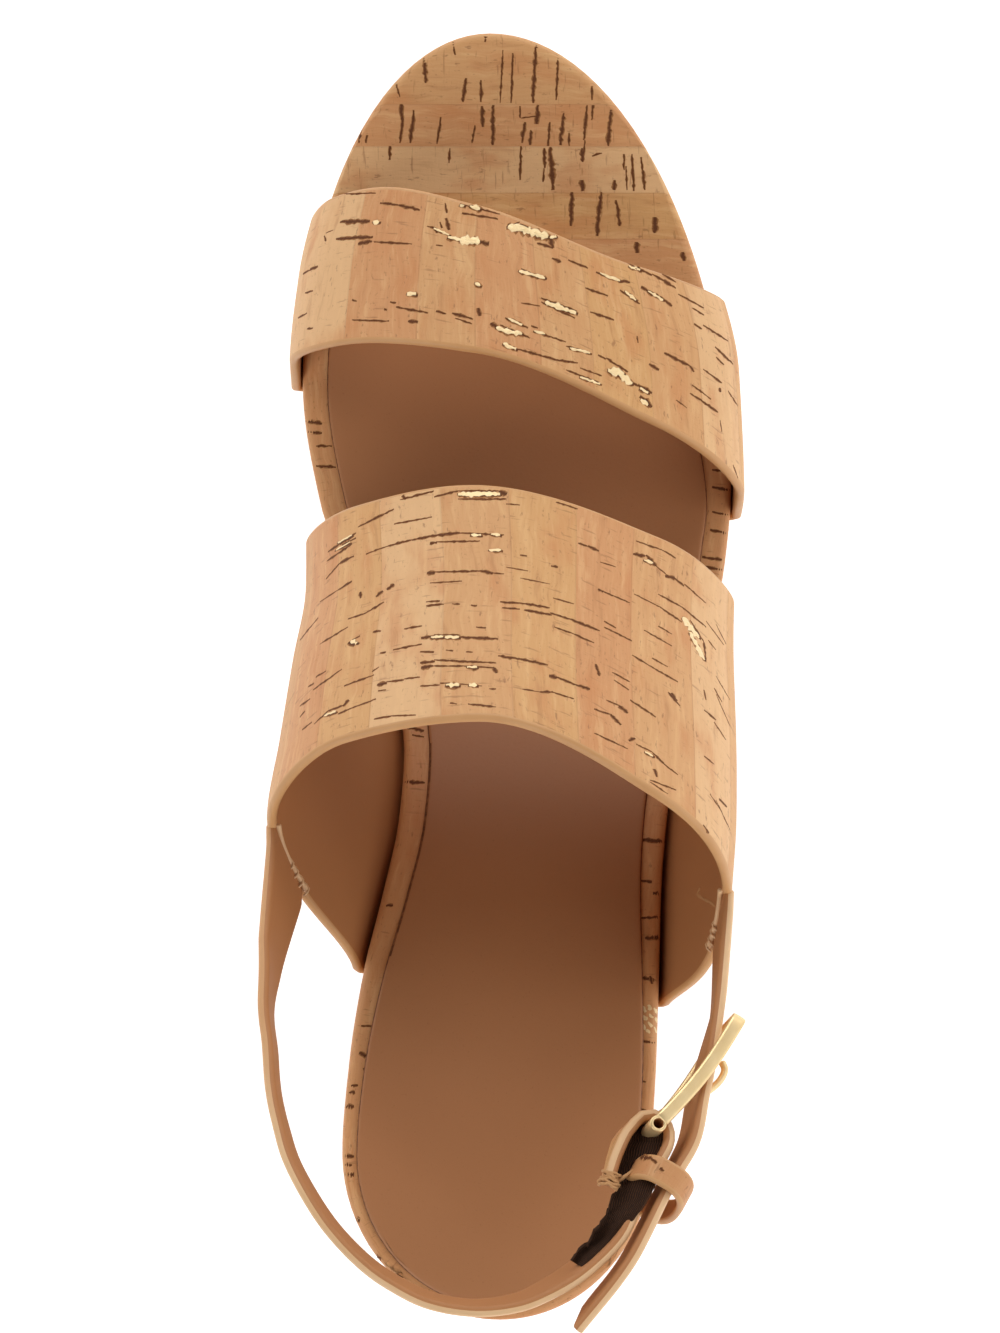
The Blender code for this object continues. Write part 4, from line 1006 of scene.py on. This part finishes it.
SLING_BACK_HEIGHT, SLING_BACK_Y, SLING_SLOPE, SLING_LEVEL, SLING_BEND = 137.0, 12.0, 0.605, 138.5, 4.0
SLING_ANCHOR, BUCKLE_ANCHOR, ANCHOR_DEPTHS, SLING_SEAT = (0.245, 0.15), (0.742, 0.826), (0.8, 0.0, -2.5), 1.3
HINGE, FREE_END, BAR_LEAN, ROLLER_RADIUS = (25.6, 34.9, 0.0), (40.2, 53.0, 0.0), -1.2, 1.5
OUTSIDE = Vector((1.0, 0.0, 0.0))


def sling_height(y):
    """Height of the sling's middle: a straight rise towards the back of the heel, levelling off there."""
    rise = SLING_BACK_HEIGHT - SLING_SLOPE * (y - SLING_BACK_Y)
    return SLING_LEVEL - SLING_BEND * math.log1p(math.exp((SLING_LEVEL - rise) / SLING_BEND))


def route_points(route):
    return [Vector((x, y, sling_height(y))) for x, y, _ in route]


def through(points, per_span):
    """A smooth curve through points, as a longer list of points."""
    padded = [2 * points[0] - points[1], *points, 2 * points[-1] - points[-2]]
    found = []
    for a, b, c, d in zip(padded, padded[1:], padded[2:], padded[3:]):
        for k in range(per_span):
            t = k / per_span
            found.append(0.5 * (2 * b + (c - a) * t + (2 * a - 5 * b + 4 * c - d) * t * t
                                + (3 * b - 3 * c + d - a) * t ** 3))
    return [*found, points[-1]]


def width_vector(along, inward, lean):
    """The direction across a strip: up, leaned in by an angle in degrees, square to its run."""
    angle = math.radians(lean)
    across = Vector((0.0, 0.0, 1.0)) * math.cos(angle) + inward * math.sin(angle)
    return (across - along * across.dot(along)).normalized()


def strip_edges(route, per_span, inward_sign, fold=(math.inf, math.inf), fold_axis=Vector()):
    """Upper and lower edge of a strip along a route. The sign turns its right-hand side inward. Between the
    first and last row of a fold the strip's width keeps to the fold's axis."""
    points = through(route_points(route), per_span)
    leans = [lean.x for lean in through([Vector((row[2], 0.0, 0.0)) for row in route], per_span)]
    edges = []
    for i, point in enumerate(points):
        along = (points[min(i + 1, len(points) - 1)] - points[max(i - 1, 0)]).normalized()
        inward = Vector((along.y, -along.x, 0.0)).normalized() * inward_sign
        across = width_vector(along, inward, leans[i])
        folded = clamp(min(i / per_span - fold[0], fold[1] - i / per_span))
        across = across.lerp(fold_axis, folded).normalized() * SLING_WIDTH / 2
        edges.append((point + across, point - across))
    return edges


def anchor_edges(upper_turn, lower_turn):
    """The end of a strip in the instep strap's back edge, between its layers, as upper and lower points."""
    back, tiny_turn, tiny_y = follow(INSTEP_STRAP, 2), 0.01, 1.0
    edges = []
    for depth in ANCHOR_DEPTHS:
        pair = []
        for turn in (upper_turn, lower_turn):
            y = back(turn) + depth
            point = last_point(turn, y)
            across = last_point(turn + tiny_turn, y) - last_point(turn - tiny_turn, y)
            along = last_point(turn, y + tiny_y) - last_point(turn, y - tiny_y)
            outward = across.cross(along).normalized()
            pair.append(point + outward * math.copysign(SLING_SEAT, outward.x * point.x))
        edges.append(tuple(pair))
    return edges


def bridged(first, second, settle, steps=8):
    """Two runs of edge pairs joined by a smooth bridge, which takes the second run's course by its
    settle-th pair."""
    sides = []
    for k in (0, 1):
        course = through([first[-2][k], first[-1][k], second[0][k], second[settle][k]], steps)
        sides.append(course[steps + 1:2 * steps])
    return first + list(zip(*sides)) + second


def up_and_out(along, lean=0.0):
    """The directions up and away from the foot, square to a run along the strap."""
    up = width_vector(along, OUTSIDE, lean)
    out = along.cross(up)
    return up, out if out.x > 0 else -out


def strip_face(edges):
    """The middle of a strip between two edge lines, evened along its run, as a face for a sheet."""
    runs = run_lengths([(upper + lower) / 2 for upper, lower in edges])

    def face(t, share):
        run = clamp(t) * runs[-1]
        i = bracket(runs, run)
        part = (run - runs[i]) / (runs[i + 1] - runs[i])
        upper, lower = (a.lerp(b, part) for a, b in zip(edges[i], edges[i + 1]))
        return upper.lerp(lower, share)

    return face


def squared(edges, reach, over):
    """A strip's edges with its end cut upright: over a last stretch the upper edge runs on past the lower."""
    along = (edges[-1][0] - edges[-2][0]).normalized()
    cut, run = edges[:], 0.0
    for k in range(len(edges) - 1, 0, -1):
        upper, lower = edges[k]
        share = max(0.0, 1 - run / over)
        cut[k] = upper + along * reach * share * share, lower
        run += (upper - edges[k - 1][0]).length
    return cut


def strap_strip(edges, outward_sign):
    """A strip of the sling's thickness, half of it on each side of the line between its edges."""
    centre, tiny = strip_face(edges), 0.004

    def face(t, share):
        share = share if outward_sign > 0 else 1 - share
        point = centre(t, share)
        along = centre(t + tiny, share) - centre(t - tiny, share)
        across = centre(t, 1.0) - centre(t, 0.0)
        outward = across.cross(along).normalized() * outward_sign
        return point - outward * SLING_THICKNESS / 2

    return wrapped_sheet(face, columns=6, pitch=1.2, thickness=SLING_THICKNESS, width=SLING_WIDTH,
                         inner_edge=1)


hinge, free_end = route_points([HINGE, FREE_END])
buckle_along = (free_end - hinge).normalized()
bar_up, buckle_out = up_and_out(buckle_along, BAR_LEAN)
cork_sling = cork("cork_sling", strips_from(0.0, 11.5, 28), (0.0, 330.0), marks=0.3)
PALE_TONES = paint(232, 194, 150), paint(214, 170, 122)
pale_edge = turned_edge("pale_edge", *PALE_TONES)
sling_edge = turned_edge("sling_edge", *PALE_TONES, fade=(-0.088, -0.060))
sling_edges = strip_edges(SLING_ROUTE, per_span=7, inward_sign=-1, fold=FOLD, fold_axis=bar_up)
sling_edges = squared(sling_edges, reach=6.6, over=9.0)
mesh = strap_strip(bridged(anchor_edges(*SLING_ANCHOR), sling_edges, settle=7), outward_sign=1)
piece("cork_slingback", mesh, [cork_sling, lining_leather, sling_edge], "sling_strap")

# The dark ribbed elastic that fills the fold, sewn along the sling's inner face, with frayed edges. Its
# near-black tone is partly painted shade, standing in for the fold's deep hollow. From the keeper down it
# laps over the sling's upper edge.
GORE_TOP = [(23.4, 37.4), (21.4, 33.6), (20.4, 28.8), (19.4, 24.4), (17.6, 20.6), (15.2, 17.2), (12.2, 14.4)]
GORE_RISE, GORE_SAG, GORE_SAG_SHARE, GORE_THICKNESS, FRAY = 3.8, 1.6, 0.6, 0.8, 0.35
GORE_START, GORE_STOP, SEWN_DOWN, SEWN_IN = 134, 97, 0.07, 0.4
LAP_PLACE, LAP_FULL, LAP_FADE, LAP_RISE, LAP_OVER, LAP_UP = 20, 2.2, 4, 1.8, 1.2, 0.6
# Painted shade: the elastic's near-black tones also stand in for the deep shadow in the fold's hollow.
elastic, shader, wire = new_material("dark_elastic_and_shade", Specular_IOR_Level=0.2)
rib = wire.math("SINE", on_sheet(wire, "cork", 1) * 9.0) * 0.5 + 0.5
fuzz = wire.noise(1700.0, 3.0, 0.7)
coat(shader, wire, wire.mix(paint(34, 19, 11), paint(92, 58, 34), rib * fuzz), 0.75 + 0.2 * fuzz,
     rib + fuzz, 0.6, 0.0003)
chance = random.Random("elastic")
tops = through([Vector((x, y, sling_height(y) + GORE_RISE)) for x, y in GORE_TOP], 6)
frayed = []
for k, (top, (upper, lower)) in enumerate(zip(tops, sling_edges[GORE_START:GORE_STOP:-1])):
    inward = Vector((top.x - upper.x, top.y - upper.y, 0.0)).normalized()
    lap = clamp(LAP_FULL - abs(k - LAP_PLACE) / LAP_FADE)
    lapped = upper - inward * LAP_OVER + Vector((0.0, 0.0, LAP_UP))
    sewn = (upper.lerp(lower, SEWN_DOWN) + inward * SEWN_IN).lerp(lapped, lap)
    frayed.append([point + Vector((chance.uniform(-FRAY, FRAY), chance.uniform(-FRAY, FRAY), 0.0))
                   for point in (top + Vector((0.0, 0.0, LAP_RISE * lap)), sewn)])
gore_middle = strip_face(frayed)


def gore_face(t, share):
    sag = GORE_SAG * math.sin(math.pi * clamp(share / GORE_SAG_SHARE))
    return gore_middle(t, share) - Vector((0.0, 0.0, sag))


mesh = wrapped_sheet(gore_face, columns=8, pitch=0.8, thickness=GORE_THICKNESS, width=SLING_WIDTH)
piece("elastic_gore_and_shade", mesh, [elastic] * 3, None)


def filled_out(turn, power):
    """Cosine and sine of a turn round a ring whose corners a power below 1 fills out."""
    return [math.copysign(abs(wave) ** power, wave) for wave in (math.cos(turn), math.sin(turn))]


def wire_bar(points, half_width, half_thickness=None, facing=None, square=1.0, mesh=None, around=20):
    """A bar along points: a tube of rings with its ends closed and rounded, in a new mesh or a given one. It
    is round, or flat towards the side that it faces; square below 1 fills out its corners."""
    mesh, half_thickness = mesh or bmesh.new(), half_thickness or half_width
    count = len(points) - 1
    made = bmesh.ops.create_grid(mesh, x_segments=count, y_segments=around, size=1.0)["verts"]
    side = facing
    frames = []
    for i, point in enumerate(points):
        along = (points[min(i + 1, count)] - points[max(i - 1, 0)]).normalized()
        side = along.orthogonal() if side is None else side - along * side.dot(along)
        side.normalize()
        frames.append((point, side.copy(), along.cross(side)))
    for vert in made:
        point, first, second = frames[round((vert.co.x + 1) / 2 * count)]
        a, b = filled_out((vert.co.y + 1) * math.pi, square)
        vert.co = place(point + first * half_width * a + second * half_thickness * b)
    bmesh.ops.remove_doubles(mesh, verts=made, dist=0.001 * MM)
    open_edges = [edge for edge in mesh.edges if edge.is_boundary]
    caps = bmesh.ops.holes_fill(mesh, edges=open_edges, sides=0)["faces"]
    round_off(mesh, list({edge for cap in caps for edge in cap.edges}), half_thickness * 0.5)
    face_outwards(mesh)
    return mesh


# The rolled back edge of the instep strap over the ends of the narrow straps, the thread that sews them
# there, and the thread that whips the folded end of the sling and ties it to the keeper.
SEAM_ENDS, SEAM_STEPS = ((0.247, 0.148), (0.740, 0.828)), 12
SEAM_RADIUS, SEAM_FORWARD, SEAM_INWARD = 0.5, 0.4, 0.3
STITCHES, FIRST_STITCH, STITCH_PITCH, STITCH_SHIFT, STITCH_SLANT = 4, 0.04, 0.13, 0.2, 0.3
WHIP_STITCHES, WHIP_START, WHIP_PITCH, WHIP_DOWN, WHIP_HEIGHT, WHIP_SLANT = 6, 0.1, 0.5, 0.4, 0.9, 0.3
THREAD_RADIUS, WHIP_RADIUS, TIE_RADIUS = 0.2, 0.28, 0.35
STITCH = (1.5, -0.1), (1.1, 0.45), (0.4, 0.9), (-0.3, 0.7), (-0.9, 0.0)
TIE = [(19.6, 27.2, 5.2), (20.8, 27.9, 5.7), (22.2, 28.8, 5.6), (23.6, 29.7, 4.6)]
LOOSE_THREAD = [(700, 888, 697, 894, 0.5), (697, 894, 703, 899, 0.5), (703, 899, 710, 902, 0.5),
                (710, 902, 715, 906, 0.5)]
instep_back = follow(INSTEP_STRAP, 2)
mesh = bmesh.new()
for upper_turn, lower_turn in SEAM_ENDS:
    inward = OUTSIDE * math.copysign(1.0, 0.5 - upper_turn)
    turns = [upper_turn + (lower_turn - upper_turn) * k / SEAM_STEPS for k in range(SEAM_STEPS + 1)]
    wire_bar([last_point(turn, instep_back(turn) + SEAM_FORWARD) + inward * SEAM_INWARD for turn in turns],
             SEAM_RADIUS, mesh=mesh, around=10)
    for k in range(STITCHES):
        turn = lower_turn + (upper_turn - lower_turn) * (FIRST_STITCH + STITCH_PITCH * k)
        y = instep_back(turn) + chance.uniform(-STITCH_SHIFT, STITCH_SHIFT)
        rise = chance.uniform(-STITCH_SLANT, STITCH_SLANT)
        wire_bar([last_point(turn, y + back) + inward * lift + Vector((0.0, 0.0, rise * back))
                  for back, lift in STITCH], THREAD_RADIUS, mesh=mesh, around=8)
piece("strap_seams", mesh, [pale_edge], None)

thread, shader, wire = new_material("tan_thread", Specular_IOR_Level=0.3)
twist = wire.noise(3000.0)
coat(shader, wire, wire.mix(paint(206, 158, 108), paint(176, 126, 80), twist), 0.6 + 0.2 * twist,
     twist, 0.3, 0.0002)
mesh = bmesh.new()
end = sling_edges[-1][0]
along = (end - sling_edges[-3][0]).normalized()
upward = width_vector(along, OUTSIDE, 0.0)
sideways = along.cross(upward)
for k in range(WHIP_STITCHES):
    middle = end - along * (WHIP_START + WHIP_PITCH * k) - upward * WHIP_DOWN
    reach = SLING_THICKNESS / 2 + chance.uniform(0.15, 0.9)
    turns = [math.radians(degrees) for degrees in range(-40, 221, 26)]
    wire_bar([middle + sideways * reach * math.cos(turn) + upward * (WHIP_HEIGHT * math.sin(turn))
              + along * chance.uniform(-WHIP_SLANT, WHIP_SLANT) for turn in turns],
             WHIP_RADIUS, mesh=mesh, around=8)
wire_bar(through([Vector((x, y, sling_height(y) + rise)) for x, y, rise in TIE], 4), TIE_RADIUS, mesh=mesh,
         around=10)
piece("sling_stitches", mesh, [thread], None)
inlay("loose_thread", LOOSE_THREAD, instep_strap, thread, proud=0.1, jagged=0.1)


# Buckle strap: the same strip from the instep strap's outer side, through the buckle and under the keeper,
# with its free end cut square behind it.
BUCKLE_STRAP_ROUTE = [(38.6, 57.0, 2.0), (37.0, 50.5, -3.0), (34.9, 42.0, -8.0), (33.0, 34.0, -7.0),
                      (28.9, 26.4, -3.0), (22.2, 14.0, -3.0), (16.2, 6.3, -2.0)]
tail_edges = squared(strip_edges(BUCKLE_STRAP_ROUTE, per_span=9, inward_sign=1), reach=6.2, over=12.0)
mesh = strap_strip(bridged(anchor_edges(*BUCKLE_ANCHOR), tail_edges, settle=9), outward_sign=-1)
piece("cork_buckle_strap", mesh, [cork_sling, lining_leather, pale_edge], "buckle_strap")


# Keeper: a short loop of lining leather covered with cork sheet, its ends butted and glued. It sits loose
# round the slingback, tied to the end of its fold, and holds the buckle strap's free end.
KEEPER_LOW, KEEPER_HIGH, KEEPER_WIDTH, KEEPER_THICKNESS = -2.2, 6.5, 5.0, 1.4
KEEPER_HALF_HEIGHT, KEEPER_POWER, KEEPER_PLACE, KEEPER_STEPS = 8.1, 2.7, 17, 48
KEEPER_BARK = [(638, 1157, 651, 1158, 1.0), (651, 1158, 657, 1163, 0.8), (648, 1151, 668, 1158, 0.5),
               (660, 1168, 664, 1171, 0.6)]
KEEPER_STRIPS = [(0.0, TAN), (18.0, ROSE), (37.0, TAN)]
cork_keeper = cork("cork_keeper", KEEPER_STRIPS, (0.0, 60.0), marks=0.2, shade=0.94)

keeper_before, keeper_middle, keeper_after = route_points(SLING_ROUTE[KEEPER_PLACE - 1:KEEPER_PLACE + 2])
keeper_along = (keeper_after - keeper_before).normalized()
keeper_up, keeper_out = up_and_out(keeper_along)
centre = keeper_middle + keeper_out * (KEEPER_LOW + KEEPER_HIGH) / 2
ring = []
for k in range(KEEPER_STEPS):
    out, up = filled_out(-2 * math.pi * k / KEEPER_STEPS, 2 / KEEPER_POWER)
    ring.append(centre + keeper_out * out * (KEEPER_HIGH - KEEPER_LOW + KEEPER_THICKNESS) / 2
                + keeper_up * up * KEEPER_HALF_HEIGHT)
half = keeper_along * KEEPER_WIDTH / 2
loop_face = strip_face([(point + half, point - half) for point in [*ring, ring[0]]])


def keeper_face(t, share):
    t, tiny = t % 1.0, 0.01
    point = loop_face(t, share)
    along = loop_face((t + tiny) % 1.0, share) - loop_face((t - tiny) % 1.0, share)
    outward = (loop_face(t, 1.0) - loop_face(t, 0.0)).cross(along).normalized()
    return point - outward * KEEPER_THICKNESS / 2


mesh = wrapped_sheet(keeper_face, columns=6, pitch=0.9, thickness=KEEPER_THICKNESS, width=KEEPER_WIDTH)
keeper = piece("cork_keeper", mesh, [cork_keeper, lining_leather, rolled_edge], "keeper_loop")
inlay("keeper_bark", KEEPER_BARK, keeper, bark)


# Buckle: three sides of flat gold-plated bar on a hollow roller in the slingback's fold, and a bowed prong
# bent round the roller, whose point rests against the frame.
FRAME_HEIGHT, FRAME_CORNER, FRAME_BOW, FRAME_STEP = 15.6, 1.2, 0.9, 1.2
BAR_HALF_WIDTH, BAR_HALF_THICKNESS, PRONG_RADIUS = 1.3, 0.6, 0.65
ROLLER_BORE, ROLLER_OVERHANG, ROLLER_ROUND, ROLLER_STEPS = 0.9, 0.4, 0.15, 32
FRAME_START, EYE_GAP = 0.6, 0.1
PRONG_PIN = [(0.20, -0.4), (0.36, 0.8), (0.47, 2.6), (0.56, 3.8), (0.66, 4.3), (0.75, 3.9), (0.79, 2.5)]
gold_plate, shader, wire = new_material("gold_plate")
tarnish, scratch = wire.noise(260.0, 3.0, 0.6), wire.noise(2400.0)
wire.plug(shader["Metallic"], 0.6 + 0.1 * scratch)
coat(shader, wire, wire.mix(paint(249, 224, 174), paint(231, 196, 136), tarnish), 0.3 + 0.12 * scratch,
     scratch, 0.05, 0.0001)


def free_corner(sign):
    """Points round one of the two rounded corners at the frame's free end, from below upwards."""
    middle = free_end - buckle_along * FRAME_CORNER + bar_up * sign * (FRAME_HEIGHT / 2 - FRAME_CORNER)
    points = []
    for degrees in range(min(0, 90 * sign), max(0, 90 * sign) + 1, 15):
        turn = math.radians(degrees)
        points.append(middle + (buckle_along * math.cos(turn) + bar_up * math.sin(turn)) * FRAME_CORNER)
    return points


length = (free_end - hinge).length
lower_end, upper_end = (hinge + buckle_along * ROLLER_RADIUS * FRAME_START + bar_up * sign * FRAME_HEIGHT / 2
                        for sign in (-1, 1))
frame_path = [lower_end, *free_corner(-1), *free_corner(1), upper_end]
bowed = []
for a, b in zip(frame_path, frame_path[1:]):
    steps = max(1, round((b - a).length / FRAME_STEP))
    bowed += [a.lerp(b, k / steps) for k in range(steps)]
bowed.append(frame_path[-1])
for point in bowed:
    point += buckle_out * FRAME_BOW * math.sin(math.pi * clamp((point - hinge).dot(buckle_along) / length))
mesh = wire_bar(bowed, BAR_HALF_WIDTH, BAR_HALF_THICKNESS, facing=buckle_out, square=0.5)
piece("gold_buckle_frame", mesh, [gold_plate], "buckle_frame")

mesh = bmesh.new()
half = FRAME_HEIGHT / 2 + ROLLER_OVERHANG
corners = [mesh.verts.new(place(hinge + buckle_out * reach + bar_up * rise)) for reach, rise in (
    (ROLLER_BORE, -half), (ROLLER_RADIUS, -half), (ROLLER_RADIUS, half), (ROLLER_BORE, half))]
profile = [mesh.edges.new((corners[k], corners[k - 1])) for k in range(4)]
bmesh.ops.spin(mesh, geom=corners + profile, cent=place(hinge), axis=bar_up, dvec=(0.0, 0.0, 0.0),
               angle=2 * math.pi, steps=ROLLER_STEPS, use_merge=True)
bmesh.ops.remove_doubles(mesh, verts=mesh.verts[:], dist=0.001 * MM)
face_outwards(mesh)
brims = [edge for edge in mesh.edges if len(edge.link_faces) == 2 and edge.calc_face_angle() > 1.0]
round_off(mesh, brims, ROLLER_ROUND, 2)
# The faces inside the bore take the dark bark colour: painted shade in the roller's hollow.
for poly in mesh.faces:
    arm = poly.calc_center_median() - place(hinge)
    poly.material_index = (arm - bar_up * arm.dot(bar_up)).length < (ROLLER_BORE + 0.05) * MM
piece("gold_buckle_roller", mesh, [gold_plate, bark], None)

eye_radius = ROLLER_RADIUS + EYE_GAP + PRONG_RADIUS
eye = []
for degrees in range(-120, 136, 16):
    turn = math.radians(degrees)
    eye.append(hinge + (-buckle_along * math.cos(turn) - buckle_out * math.sin(turn)) * eye_radius)
pin = [hinge + buckle_along * length * share + buckle_out * out for share, out in PRONG_PIN]
mesh = wire_bar(eye[:-1] + through([eye[-1], *pin], 6), PRONG_RADIUS)
piece("gold_buckle_prong", mesh, [gold_plate], "buckle_prong")


# Floor, light and camera: a lit white table inside a ring of low softboxes, and the camera straight above
# the sandal with the toe up, as the photograph was taken.
WHITE = 1.0, 1.0, 1.0, 1.0
TABLE_HALF, TABLE_GLOW, SKY_GLOW = 3.0, 0.645, 0.03
SOFTBOX_DISTANCE, SOFTBOX_SIZE, AIM = 1.7, 0.9, Vector((0.0, 0.0, 0.07))
SOFTBOXES = (
    ("front_softbox", 90, 25, 10.6), ("front_left_softbox", 135, 25, 7.9),
    ("front_right_softbox", 45, 25, 5.4), ("right_softbox", 0, 25, 4.3), ("right_high_softbox", 0, 55, 4.0),
    ("back_right_softbox", -45, 25, 10.5), ("back_left_softbox", -135, 25, 8.2),
    ("back_left_high_softbox", -135, 55, 6.0))
SENSOR_WIDTH, FOCAL_LENGTH = 36.0, 282.8
white_table, shader, wire = new_material("white_table", Roughness=0.9, Emission_Color=WHITE,
                                         Emission_Strength=TABLE_GLOW)
wire.plug(shader["Base Color"], wire.mix((0.79, 0.79, 0.79, 1.0), (0.81, 0.81, 0.81, 1.0), wire.noise(3.0)))
mesh = bmesh.new()
bmesh.ops.create_grid(mesh, x_segments=1, y_segments=1, size=TABLE_HALF)
table = mesh_object("table", mesh, [white_table])

world = bpy.data.worlds.new("studio")
world.use_nodes = True
sky = world.node_tree.nodes["Background"].inputs
sky["Color"].default_value, sky["Strength"].default_value = WHITE, SKY_GLOW
bpy.context.scene.world = world
for name, azimuth, elevation, watts in SOFTBOXES:
    light = bpy.data.lights.new(name, "AREA")
    light.size, light.energy = SOFTBOX_SIZE, watts
    lamp = in_scene(name, light)
    turn, rise = math.radians(azimuth), math.radians(elevation)
    way = Vector((math.cos(turn) * math.cos(rise), math.sin(turn) * math.cos(rise), math.sin(rise)))
    lamp.location = way * SOFTBOX_DISTANCE
    lamp.rotation_euler = (AIM - lamp.location).to_track_quat("-Z", "Y").to_euler()
    lamp.visible_camera = False

view = bpy.data.cameras.new("photo_camera")
view.sensor_fit, view.sensor_width, view.lens = "HORIZONTAL", SENSOR_WIDTH, FOCAL_LENGTH
camera = in_scene("photo_camera", view)
camera.location = CAMERA_PLACE
bpy.context.scene.camera = camera
bpy.context.scene.view_settings.view_transform = "Standard"
